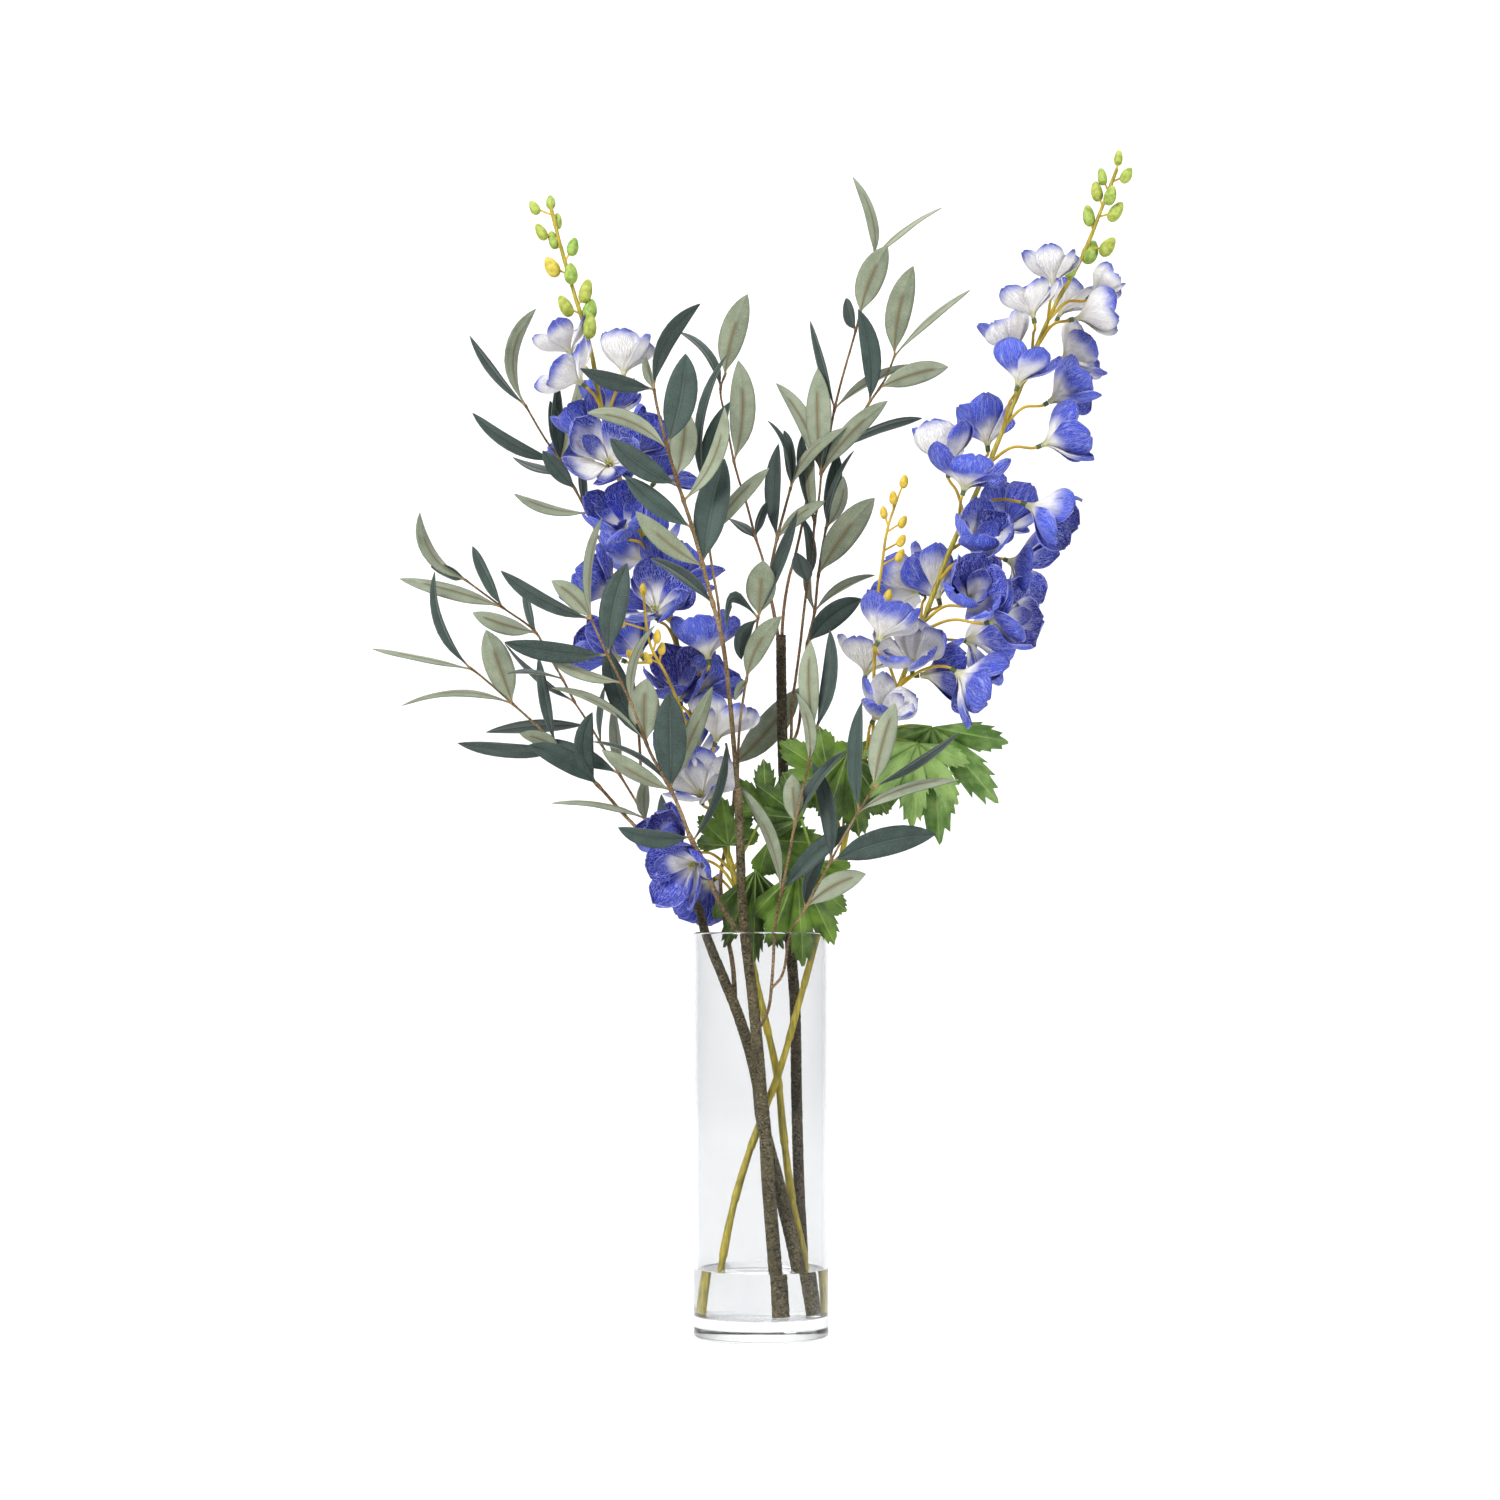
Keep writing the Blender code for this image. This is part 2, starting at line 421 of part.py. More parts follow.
def surface_shell(surface, thickness, spare):
    """Points and faces of a solid blade a little thicker than the real one."""
    points, faces = surface
    normals = [Vector() for _ in points]
    edges = set()
    for face in faces:
        a, b, c = (points[i] for i in face[:3])
        normal = (b - a).cross(c - a)
        for i in face:
            normals[i] += normal
        edges.update(zip(face, face[1:] + face[:1]))
    half = thickness / 2 + spare
    above = [p + n.normalized() * half for p, n in zip(points, normals)]
    below = [p - n.normalized() * half for p, n in zip(points, normals)]
    count = len(points)
    shell = list(faces) + [tuple(i + count for i in face) for face in faces]
    shell += [(i, j, j + count, i + count) for i, j in sorted(edges) if (j, i) not in edges]
    return above + below, shell


class Standing:
    """What stands in the arrangement so far, for finding a clear place for more."""

    def __init__(self):
        self.things = []

    def add(self, owner, shell):
        points, faces = shell
        self.things.append((owner, *bounds_of(points), BVHTree.FromPolygons(points, faces)))

    def touching(self, shell, keep_off):
        """How many standing things this one would cross, of those that keep_off picks."""
        points, faces = shell
        low, high = bounds_of(points)
        tree = None
        found = 0
        for owner, other_low, other_high, other_tree in self.things:
            if not keep_off(owner):
                continue
            if any(low[i] > other_high[i] or high[i] < other_low[i] for i in range(3)):
                continue
            tree = tree or BVHTree.FromPolygons(points, faces)
            if tree.overlap(other_tree):
                found += 1
        return found


def bounds_of(points):
    low = tuple(min(p[i] for p in points) for i in range(3))
    high = tuple(max(p[i] for p in points) for i in range(3))
    return low, high


def leaf_surface(base, tip, width, side, roll, bulge):
    """An olive leaf as a folded blade: a narrow foot, a broad middle and a pointed tip."""
    run = tip - base
    across = run.cross(Vector((0, 1, 0))).normalized()
    middle = (base + tip) / 2 + across * bulge * 2
    points = []
    for share, broad in LEAF_ROWS:
        place = base * (1 - share) ** 2 + middle * 2 * share * (1 - share) + tip * share**2
        ahead = ((middle - base) * (1 - share) + (tip - middle) * share).normalized()
        flat = ahead.cross(Vector((0, 1, 0))).normalized()
        facing = ahead.cross(flat)
        half = (PETIOLE_WIDTH + (width - PETIOLE_WIDTH) * broad) / 2
        out = flat * math.cos(roll) + facing * math.sin(roll)
        up = ahead.cross(out) * side
        lift = up * half * LEAF_FOLD * 2
        points += [place + out * half + lift, place.copy(), place - out * half + lift]
    points.append(tip.copy())
    faces = []
    rows = len(LEAF_ROWS)
    for row in range(rows - 1):
        for k in range(2):
            a = row * 3 + k
            faces.append((a, a + 1, a + 4) if k == 0 else (a, a + 1, a + 3))
            faces.append((a, a + 4, a + 3) if k == 0 else (a + 1, a + 4, a + 3))
    last = (rows - 1) * 3
    faces += [(last, last + 1, last + 3), (last + 1, last + 2, last + 3)]
    return points, faces


def floret_surface(base, axis, spin, size, openness):
    """A cup of five broad petals that have grown together at the throat."""
    side = axis.cross(Vector((0, 1, 0.3))).normalized()
    other = axis.cross(side)

    def at(degrees, ring):
        turn = spin + math.radians(degrees)
        out = side * math.cos(turn) + other * math.sin(turn)
        return base + (out * ring[0] * openness + axis * ring[1]) * size

    points = []
    step = 360 / FLORET_LOBES
    for lobe in range(FLORET_LOBES):
        middle = lobe * step
        points += [at(middle, FLORET_THROAT), at(middle, PETAL_BELLY), at(middle + step / 2, PETAL_NOTCH),
                   at(middle - PETAL_TIP_TURN, PETAL_TIP), at(middle + PETAL_TIP_TURN, PETAL_TIP)]
    faces = [(0, lobe * 5, lobe * 5 + 5) for lobe in range(1, FLORET_LOBES - 1)]
    for lobe in range(FLORET_LOBES):
        throat, belly, notch, tip, tip_after = range(lobe * 5, lobe * 5 + 5)
        after = (lobe + 1) % FLORET_LOBES * 5
        notch_before = (lobe - 1) % FLORET_LOBES * 5 + 2
        faces += [(throat, belly, notch), (throat, notch, after), (after, notch, after + 1),
                  (belly, notch_before, tip), (belly, tip, tip_after), (belly, tip_after, notch)]
    return points, faces


def lobed_surface(joint, tip, spread, notch):
    """A leaf of five toothed lobes that meet at the end of its stalk."""
    run = tip - joint
    reach = run.length
    ahead = run.normalized()
    out = ahead.cross(Vector((0, 1, 0))).normalized()
    up = ahead.cross(out)

    def at(angle, distance, lift):
        turn = math.radians(angle * spread)
        return joint + (ahead * math.cos(turn) + out * math.sin(turn)) * distance + up * lift

    points = [joint.copy()]
    for angle, share in LOBED_LOBES:
        points.append(at(angle, reach * share * 0.55, reach * LOBE_CUP))
    rim = len(points)
    points.append(at(LOBED_LOBES[0][0] - LOBE_TURN, reach * notch * 0.8, 0))
    for number, (angle, share) in enumerate(LOBED_LOBES):
        far = reach * share
        last = number == len(LOBED_LOBES) - 1
        points.append(at(angle - LOBE_TURN * 0.62, far * 0.8, 0))
        points.append(at(angle, far, -reach * LOBE_CUP))
        points.append(at(angle + LOBE_TURN * 0.62, far * 0.8, 0))
        points.append(at(angle + LOBE_TURN, reach * notch * (0.8 if last else 1), 0))
    faces = []
    for lobe in range(len(LOBED_LOBES)):
        rib = 1 + lobe
        start = rim + lobe * 4
        faces += [(0, start, rib), (start, start + 1, rib), (start + 1, start + 2, rib),
                  (start + 2, start + 3, rib), (start + 3, start + 4, rib), (0, rib, start + 4)]
    return points, faces


def nearest_on(route, across, up):
    """The point of a route (in picture terms) that shows nearest to a place."""
    best = None
    for (x1, z1, y1), (x2, z2, y2) in zip(route, route[1:]):
        length = (x2 - x1) ** 2 + (z2 - z1) ** 2
        share = ((across - x1) * (x2 - x1) + (up - z1) * (z2 - z1)) / length
        share = min(1.0, max(0.0, share))
        place = (x1 + (x2 - x1) * share, z1 + (z2 - z1) * share, y1 + (y2 - y1) * share)
        gap = math.hypot(place[0] - across, place[1] - up)
        if best is None or gap < best[0]:
            best = (gap, place)
    return best[1]


def joined(name, body, collection, material):
    """One solid: the body and everything in the collection."""
    union = body.modifiers.new("all of it", "BOOLEAN")
    union.operation = "UNION"
    union.operand_type = "COLLECTION"
    union.collection = collection
    union.solver = "MANIFOLD"
    spare = body.modifiers.new("spare triangles of the union", "DECIMATE")
    spare.ratio = KEPT_SHARE
    made = settled(body)
    made.name = name
    made.data.materials.append(material)
    for thing in list(collection.objects):
        bpy.data.objects.remove(thing)
    bpy.data.collections.remove(collection)
    return made


def spun(name, profile, steps, material):
    """A body of revolution about Z from a profile of (radius, height)."""
    mesh = bpy.data.meshes.new(name)
    points = [(radius * MM, 0.0, height * MM) for radius, height in profile]
    mesh.from_pydata(points, [(i, i + 1) for i in range(len(points) - 1)], [])
    thing = bpy.data.objects.new(name, mesh)
    bpy.context.scene.collection.objects.link(thing)
    screw = thing.modifiers.new("spin", "SCREW")
    screw.steps = steps
    screw.render_steps = steps
    screw.use_merge_vertices = True
    screw.merge_threshold = 0.00001
    made = settled(thing)
    made.data.materials.append(material)
    return made


def make_vase(material):
    inside = VASE_RADIUS - VASE_WALL
    foot = VASE_FOOT_ROUND
    turn = VASE_FLOOR_ROUND
    rim = VASE_RIM_ROUND
    profile = [(0, VASE_FLOOR), (inside - turn, VASE_FLOOR), (inside, VASE_FLOOR + turn),
               (inside, VASE_HEIGHT - rim), (inside + rim, VASE_HEIGHT), (VASE_RADIUS - rim, VASE_HEIGHT),
               (VASE_RADIUS, VASE_HEIGHT - rim), (VASE_RADIUS, foot), (VASE_RADIUS - foot, 0), (0, 0)]
    return spun("vase", profile, VASE_STEPS, material)


def make_water(material, stems):
    """The water, with a plain hole for each stem that stands in it."""
    wide = VASE_RADIUS - VASE_WALL - WATER_GAP
    low = VASE_FLOOR + WATER_GAP
    turn = VASE_FLOOR_ROUND
    profile = [(0, WATER_TOP), (wide, WATER_TOP), (wide, low + turn), (wide - turn, low), (0, low)]
    water = spun("water", profile, WATER_STEPS, material)
    cutters = bpy.data.collections.new("stem_holes")
    bpy.context.scene.collection.children.link(cutters)
    for number, (route, radius) in enumerate(stems):
        down = (route[0] - route[1]).normalized()
        up = (route[2] - route[1]).normalized()
        path = [route[0] + down * HOLE_REACH, route[1], route[1] + up * HOLE_REACH]
        cutter = tube(f"hole_{number}", path, [radius + STEM_FIT] * len(path), 8, cutters)
        cutter.hide_render = True
        cutter.display_type = "WIRE"
    cut = water.modifiers.new("stem holes", "BOOLEAN")
    cut.operation = "DIFFERENCE"
    cut.operand_type = "COLLECTION"
    cut.collection = cutters
    cut.solver = "MANIFOLD"
    made = settled(water)
    for thing in list(cutters.objects):
        bpy.data.objects.remove(thing)
    bpy.data.collections.remove(cutters)
    return made


def stand_vase(standing):
    """Puts bars up the wall of the vase and round its rim in the way of the rest."""
    wall = VASE_RADIUS - VASE_WALL / 2
    low = VASE_FLOOR + WATER_GAP
    high = VASE_HEIGHT - VASE_WALL / 2
    radii = [VASE_WALL / 2] * 2
    turns = [Matrix.Rotation(math.tau * i / VASE_BARS, 3, "Z") for i in range(VASE_BARS)]
    ring = [turn @ Vector((wall, 0, 0)) for turn in turns]
    for place, beside in zip(ring, ring[1:] + ring[:1]):
        top = place + Vector((0, 0, high))
        standing.add("vase", tube_shell([place + Vector((0, 0, low)), top], radii, SPARE_ROOM))
        standing.add("vase", tube_shell([top, beside + Vector((0, 0, high))], radii, SPARE_ROOM))


def stem_route(route, radius):
    """A route in millimetres; one that starts in the vase gets its foot just off the floor."""
    places = [spot(*knot) for knot in route]
    if places[0].z < WATER_TOP:
        lean = (places[1] - places[0]).normalized()
        sink = radius * math.sqrt(max(0.0, 1 - lean.z**2))
        places[0].z = VASE_FLOOR + FOOT_GAP + sink
    return places


def plan_twigs(owner, twigs, standing):
    """The routes and radii of a branch, which now stand in the way of the rest."""
    planned = []
    for start, end, sides, route, leaves in twigs:
        places = stem_route(route, start)
        radii = tapered(start, end, len(places))
        standing.add(owner, tube_shell(places, radii, SPARE_ROOM))
        planned.append((places, radii, sides, route, leaves))
    return planned


def plan_leaves(owner, planned, standing, dice):
    """A clear placing for each leaf of a branch."""
    placings = []
    for _, _, _, route, leaves in planned:
        for base_x, base_z, tip_x, tip_z, shown, side, bulge, lean in leaves:
            root = nearest_on(route, base_x, base_z)
            base = spot(*root)
            width = max(shown, LEAF_FULL_WIDTH)
            roll = math.acos(min(1.0, shown / width)) * dice.choice((-1, 1))
            best = None
            for size in (1.0, 0.86, 0.7):
                for step in (0, 1, -1, 2, -2, 3, -3, 4, -4, 5, -5, 6, -6):
                    for turn in (0, 18, -18, 36, -36):
                        tip = spot(tip_x, tip_z, root[2] + lean + step * LEAF_STEP)
                        placing = (base, base + (tip - base) * (0.5 + size / 2), width * size, side,
                                   roll + math.radians(turn), bulge)
                        shell = surface_shell(leaf_surface(*placing), LEAF_THICK, SPARE_ROOM)
                        others = standing.touching(shell, lambda other: other.split("/")[0] != owner)
                        own = standing.touching(shell, lambda other: other == owner + "/leaf")
                        cost = others * CROSSING + own * 9 + abs(step) + abs(turn) / 18 + (1 - size) * 30
                        if best is None or cost < best[0]:
                            best = (cost, placing, shell)
                        if cost < 1:
                            break
                    if best[0] < abs(step):
                        break
                if best[0] < 12:
                    break
            if best[0] < CROSSING:
                standing.add(owner + "/leaf", best[2])
                placings.append(best[1])
    return placings


def olive(owner, planned, leaves, material):
    """A branch as one solid: bark stem, twigs and leaves."""
    parts = bpy.data.collections.new(owner + "_parts")
    bpy.context.scene.collection.children.link(parts)
    main = None
    for number, (places, radii, sides, _, _) in enumerate(planned):
        made = tube(f"{owner}_twig_{number}", places, radii, sides, parts if number else None)
        main = main or made
    for number, placing in enumerate(leaves):
        blade_object(f"{owner}_leaf_{number}", leaf_surface(*placing), LEAF_THICK, parts)
    return joined(owner, main, parts, material)


def plan_florets(owner, stalk, florets, standing, dice):
    """A clear place for each floret, and the pedicel that carries it."""
    planned = []
    for number, (x, z, base_x, base_z, where, size) in enumerate(florets):
        root = nearest_on(stalk, base_x, base_z - PEDICEL_DROP)
        near = nearest_on(stalk, x, z)
        spin = dice.uniform(0, 2 * math.pi)
        openness = dice.uniform(0.9, 1.08)
        flat = math.hypot(x - base_x, z - base_z)
        wanted = near[2] + where * FLORET_STAND_OFF
        best = None
        for shrink in (1.0, 0.9, 0.8):
            for step in range(0, 13):
                for sign in (1, -1):
                    depth = wanted + sign * step * FLORET_STEP
                    long = FLORET_MIDDLE * size * shrink
                    for back in ((1, 0.4, -0.4) if where == BESIDE else (1, 0.5)):
                        away = math.sqrt(max(0.0, long**2 - min(flat, long) ** 2)) * back
                        toward = -1 if depth <= near[2] else 1
                        keep = min(1.0, long / max(flat, 1))
                        base = spot(x + (base_x - x) * keep, z + (base_z - z) * keep, depth - toward * away)
                        middle = spot(x, z, depth)
                        axis = (middle - base).normalized()
                        placing = (base, axis, spin, size * shrink, openness)
                        shell = surface_shell(floret_surface(*placing), PETAL_THICK, SPARE_ROOM)
                        stem = spot(*root)
                        seat = base - axis * (PETAL_THICK / 2 + SEAT_GAP)
                        lift = Vector((0, 0, min(PEDICEL_ARCH, (seat - stem).length * 0.18)))
                        neck = seat - axis * COLLAR_LENGTH
                        route = [stem, (stem + neck) / 2 + lift, neck, seat]
                        radii = [PEDICEL_RADIUS * 1.2, PEDICEL_RADIUS, PEDICEL_RADIUS, COLLAR_RADIUS]
                        stalk_shell = tube_shell(route, radii, SPARE_ROOM)
                        cost = step + (1 - shrink) * 40 + (1 - abs(back)) * 3
                        if best is not None and cost >= best[0]:
                            continue
                        hits = standing.touching(shell, lambda other: True)
                        hits += standing.touching(
                            stalk_shell, lambda other: other.split("/")[0] != owner or "floret" in other)
                        cost += hits * CROSSING
                        if best is None or cost < best[0]:
                            best = (cost, placing, shell, route, radii, stalk_shell)
            if best[0] < CROSSING:
                break
        standing.add(f"{owner}/floret", best[2])
        standing.add(f"{owner}/pedicel", best[5])
        planned.append((number + 1, best[1], best[3], best[4]))
    return planned


def bud(name, middle, ahead, size, collection):
    """A small grooved bud, longer than it is broad."""
    made = bmesh.new()
    bmesh.ops.create_uvsphere(made, u_segments=5, v_segments=4, radius=1.0)
    turn = Vector((0, 0, 1)).rotation_difference(ahead.normalized()).to_matrix().to_4x4()
    scale = Matrix.Diagonal((size * 0.62, size * 0.62, size, 1.0))
    for point in made.verts:
        point.co = (middle + (turn @ scale @ point.co)) * MM
    mesh = bpy.data.meshes.new(name)
    made.to_mesh(mesh)
    made.free()
    thing = bpy.data.objects.new(name, mesh)
    collection.objects.link(thing)
    return settled(thing)


def plan_buds(stalk_knots, spots, size, shares, standing, owner, dice):
    """Buds on short stalks, round the top of a stalk or along a sprig, fuller as they go down."""
    planned = []
    for number, (x, z) in enumerate(spots):
        root = nearest_on(stalk_knots, x, z - BUD_DROP)
        near = nearest_on(stalk_knots, x, z)
        flat = math.hypot(x - near[0], z - near[1])
        depth = near[2] + (-1 if number % 2 else 1) * max(0.0, BUD_DROP - flat) * dice.uniform(0.7, 1.0)
        middle = spot(x, z, depth)
        start = spot(*root)
        ahead = ((middle - start).normalized() + Vector((0, 0, BUD_RISE))).normalized()
        fullness = shares[0] + (shares[1] - shares[0]) * number / (len(spots) - 1)
        half = size * fullness * dice.uniform(0.92, 1.08)
        planned.append(([start, middle], middle, ahead, half))
        standing.add(owner + "/bud", tube_shell([middle - ahead * half, middle + ahead * half],
                                                [half * 0.75] * 2, SPARE_ROOM))
    return planned


def delphinium(owner, stalk, sprig, florets, buds, lobed, green, petals):
    """The green of a delphinium as one solid, and each of its florets."""
    parts = bpy.data.collections.new(owner + "_parts")
    bpy.context.scene.collection.children.link(parts)
    places, radii = stalk
    main = tube(owner + "_stalk", places, radii, 8)
    tube(owner + "_sprig", *sprig, 5, parts)
    for number, _, route, thick in florets:
        tube(f"{owner}_pedicel_{number}", route, thick, 5, parts)
    for number, (route, middle, ahead, size) in enumerate(buds):
        tube(f"{owner}_bud_stalk_{number}", route, [BUD_STALK_RADIUS] * len(route), 4, parts)
        bud(f"{owner}_bud_{number}", middle, ahead, size, parts)
    for number, (route, placing) in enumerate(lobed):
        tube(f"{owner}_leaf_stalk_{number}", route, tapered(*LEAF_STALK_RADII, len(route)), 5,
             parts)
        blade_object(f"{owner}_leaf_{number}", lobed_surface(*placing), LOBED_THICK, parts)
    joined(owner + "_green", main, parts, green)
    for number, placing, _, _ in florets:
        made = blade_object(f"{owner}_floret_{number:02d}", floret_surface(*placing), PETAL_THICK)
        made.data.materials.append(petals)


def plan_lobed(owner, leaves, standing):
    """Each lobed leaf with its stalk, moved in depth until it is clear."""
    planned = []
    for start, knots, joint, tip, spread, notch in leaves:
        best = None
        for step in range(0, 9):
            for sign in (1, -1):
                for tilt in (0, 6, -6, 12):
                    move = sign * step * LOBED_STEP
                    middle = spot(joint[0], joint[1], joint[2] + move)
                    placing = (middle, spot(tip[0], tip[1], tip[2] + move + tilt), spread, notch)
                    route = [spot(*start)] + [spot(k[0], k[1], k[2] + move / 2) for k in knots] + [middle]
                    shell = surface_shell(lobed_surface(*placing), LOBED_THICK, SPARE_ROOM)
                    stalk_shell = tube_shell(route, [LEAF_STALK_RADII[0]] * len(route), SPARE_ROOM)
                    hits = standing.touching(shell, lambda other: other.split("/")[0] != owner)
                    hits += standing.touching(stalk_shell, lambda other: other.split("/")[0] != owner)
                    own = standing.touching(shell, lambda other: other == owner + "/lobed")
                    cost = hits * CROSSING + own * 5 + step + abs(tilt) / 6
                    if best is None or cost < best[0]:
                        best = (cost, route, placing, shell, stalk_shell)
        standing.add(owner + "/lobed", best[3])
        standing.add(owner, best[4])
        planned.append((best[1], best[2]))
    return planned


def plan_arrangement():
    """Where everything stands. Each thing is found a place clear of those before it."""
    dice = random.Random(DICE_SEED)
    standing = Standing()
    stand_vase(standing)
    branches = {}
    for owner, twigs in (
        ("olive_left", OLIVE_LEFT),
        ("olive_front", OLIVE_FRONT),
        ("olive_back", OLIVE_BACK),
    ):
        branches[owner] = plan_twigs(owner, twigs, standing)
    stalks = {}
    for owner, route, sprig in (("delphinium_left", STALK_LEFT, SPRIG_LEFT),
                                ("delphinium_right", STALK_RIGHT, SPRIG_RIGHT)):
        places = stem_route(route, STALK_RADII[0])
        radii = tapered(*STALK_RADII, len(places))
        sprig_places = [spot(*knot) for knot in sprig]
        sprig_radii = tapered(*SPRIG_RADII, len(sprig_places))
        standing.add(owner, tube_shell(places, radii, SPARE_ROOM))
        standing.add(owner, tube_shell(sprig_places, sprig_radii, SPARE_ROOM))
        stalks[owner] = ((places, radii), (sprig_places, sprig_radii))
    heads = {}
    for owner, lobed, tips, sprig_buds, route, sprig in (
        ("delphinium_left", LOBED_LEFT, TIP_BUDS_LEFT, SPRIG_BUDS_LEFT, STALK_LEFT, SPRIG_LEFT),
        ("delphinium_right", LOBED_RIGHT, TIP_BUDS_RIGHT, SPRIG_BUDS_RIGHT, STALK_RIGHT, SPRIG_RIGHT),
    ):
        tip_buds = plan_buds(route, tips, TIP_BUD_SIZE, TIP_BUD_SHARES, standing, owner, dice)
        side_buds = plan_buds(sprig, sprig_buds, SPRIG_BUD_SIZE, (1, 1), standing, owner, dice)
        heads[owner] = [plan_lobed(owner, lobed, standing), tip_buds, side_buds]
    for owner, route, florets in (("delphinium_left", STALK_LEFT, FLORETS_LEFT),
                                  ("delphinium_right", STALK_RIGHT, FLORETS_RIGHT)):
        heads[owner].append(plan_florets(owner, route, florets, standing, dice))
    leaves = {owner: plan_leaves(owner, planned, standing, dice) for owner, planned in branches.items()}
    return branches, leaves, stalks, heads


def main():
    clear_scene()
    glass = principled("glass", (0.9, 0.95, 0.95), 0.03, 1.0)
    clear_water = principled("water", (0.92, 0.96, 0.96), 0.02, 1.0)
    olive_green = principled("olive", (0.12, 0.16, 0.1), 0.6)
    green = principled("delphinium_green", (0.3, 0.38, 0.05), 0.5)
    petals = principled("delphinium_petals", (0.12, 0.17, 0.6), 0.55)

    branches, leaves, stalks, heads = plan_arrangement()
    make_vase(glass)
    stems = [(branches[owner][0][0], branches[owner][0][1][0]) for owner in branches]
    stems += [(stalks[owner][0][0], STALK_RADII[0]) for owner in stalks]
    make_water(clear_water, stems)
    for owner, planned in branches.items():
        olive(owner, planned, leaves[owner], olive_green)
    for owner, (lobed, tip_buds, side_buds, florets) in heads.items():
        delphinium(owner, *stalks[owner], florets, tip_buds + side_buds, lobed, green, petals)


main()
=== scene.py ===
import math
import random

import bmesh
import bpy
from mathutils import Matrix, Vector
from mathutils.bvhtree import BVHTree


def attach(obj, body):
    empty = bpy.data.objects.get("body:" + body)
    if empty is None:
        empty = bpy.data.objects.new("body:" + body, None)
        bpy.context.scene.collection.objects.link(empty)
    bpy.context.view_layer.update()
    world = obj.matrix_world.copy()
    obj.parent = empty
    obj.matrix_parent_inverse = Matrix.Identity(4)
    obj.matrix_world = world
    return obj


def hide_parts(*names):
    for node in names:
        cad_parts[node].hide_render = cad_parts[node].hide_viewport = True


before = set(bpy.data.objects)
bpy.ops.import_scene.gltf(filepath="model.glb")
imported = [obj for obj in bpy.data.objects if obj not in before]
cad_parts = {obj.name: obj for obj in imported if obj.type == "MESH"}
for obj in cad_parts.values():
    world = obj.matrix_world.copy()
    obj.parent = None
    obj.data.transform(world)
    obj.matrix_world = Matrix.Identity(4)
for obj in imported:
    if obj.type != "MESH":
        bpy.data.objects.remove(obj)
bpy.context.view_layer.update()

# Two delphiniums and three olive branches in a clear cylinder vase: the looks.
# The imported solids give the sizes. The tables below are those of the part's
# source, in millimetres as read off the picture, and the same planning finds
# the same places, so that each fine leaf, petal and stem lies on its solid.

MM = 0.001

# The view that the tables were read from.
VIEW_DISTANCE = 2330.0
VIEW_HEIGHT = 300.0
VIEW_ACROSS = -8.0

# Vase and water. The foot of each stem stands just off the floor of the vase.
VASE_RADIUS = 50.0
VASE_WALL = 3.0
VASE_HEIGHT = 300.0
VASE_FLOOR = 16.0
WATER_TOP = 51.0
WATER_GAP = 0.3
FOOT_GAP = 0.4
VASE_BARS = 24

# Olive leaves: each row is its share of the leaf's run and of its width.
LEAF_THICK = 0.7
LEAF_FULL_WIDTH = 15.0
LEAF_FOLD = 0.14
PETIOLE_WIDTH = 1.6
LEAF_ROWS = ((0.0, 0.0), (0.3, 0.86), (0.68, 0.92))

# Lobed leaves: each lobe is its angle and its share of the leaf's reach.
LOBED_THICK = 0.8
LOBED_LOBES = ((-104, 0.66), (-52, 0.86), (0, 1.0), (52, 0.86), (104, 0.66))
LOBE_TURN = 26.0
LOBE_CUP = 0.05
LEAF_STALK_RADII = (1.3, 1.0)

# Florets: each ring is its distance from the axis and its height on it.
PETAL_THICK = 0.8
FLORET_LOBES = 5
FLORET_MIDDLE = 20.0
FLORET_THROAT = (2.2, 0.0)
PETAL_BELLY = (18.5, 16.0)
PETAL_NOTCH = (15.5, 23.0)
PETAL_TIP = (23.5, 34.0)
PETAL_TIP_TURN = 18.0
FLORET_STAND_OFF = 34.0
PEDICEL_DROP = 28.0
PEDICEL_RADIUS = 1.1
PEDICEL_ARCH = 6.0
COLLAR_RADIUS = 1.9
COLLAR_LENGTH = 4.0
SEAT_GAP = 0.35

# Buds and the sprigs that carry some of them.
TIP_BUD_SIZE = 8.0
SPRIG_BUD_SIZE = 5.0
TIP_BUD_SHARES = (0.74, 1.18)
BUD_DROP = 9.0
BUD_RISE = 1.2
BUD_STALK_RADIUS = 0.8
SPRIG_RADII = (1.3, 0.9)

# Finding a clear place: the dice's seed, the room kept round each thing, what
# one crossing costs, and how far each try moves in depth.
DICE_SEED = 7
SPARE_ROOM = 0.35
CROSSING = 100
LEAF_STEP = 7.0
FLORET_STEP = 5.0
LOBED_STEP = 3.0


# Each twig: radius at its start, radius at its end, sides, then its route.
# Each leaf: where its base and tip show, the width that shows, the side that
# faces the viewer, how far it bulges to the left of its run, and the depth
# that its tip leans back by.
DARK = 1
PALE = -1

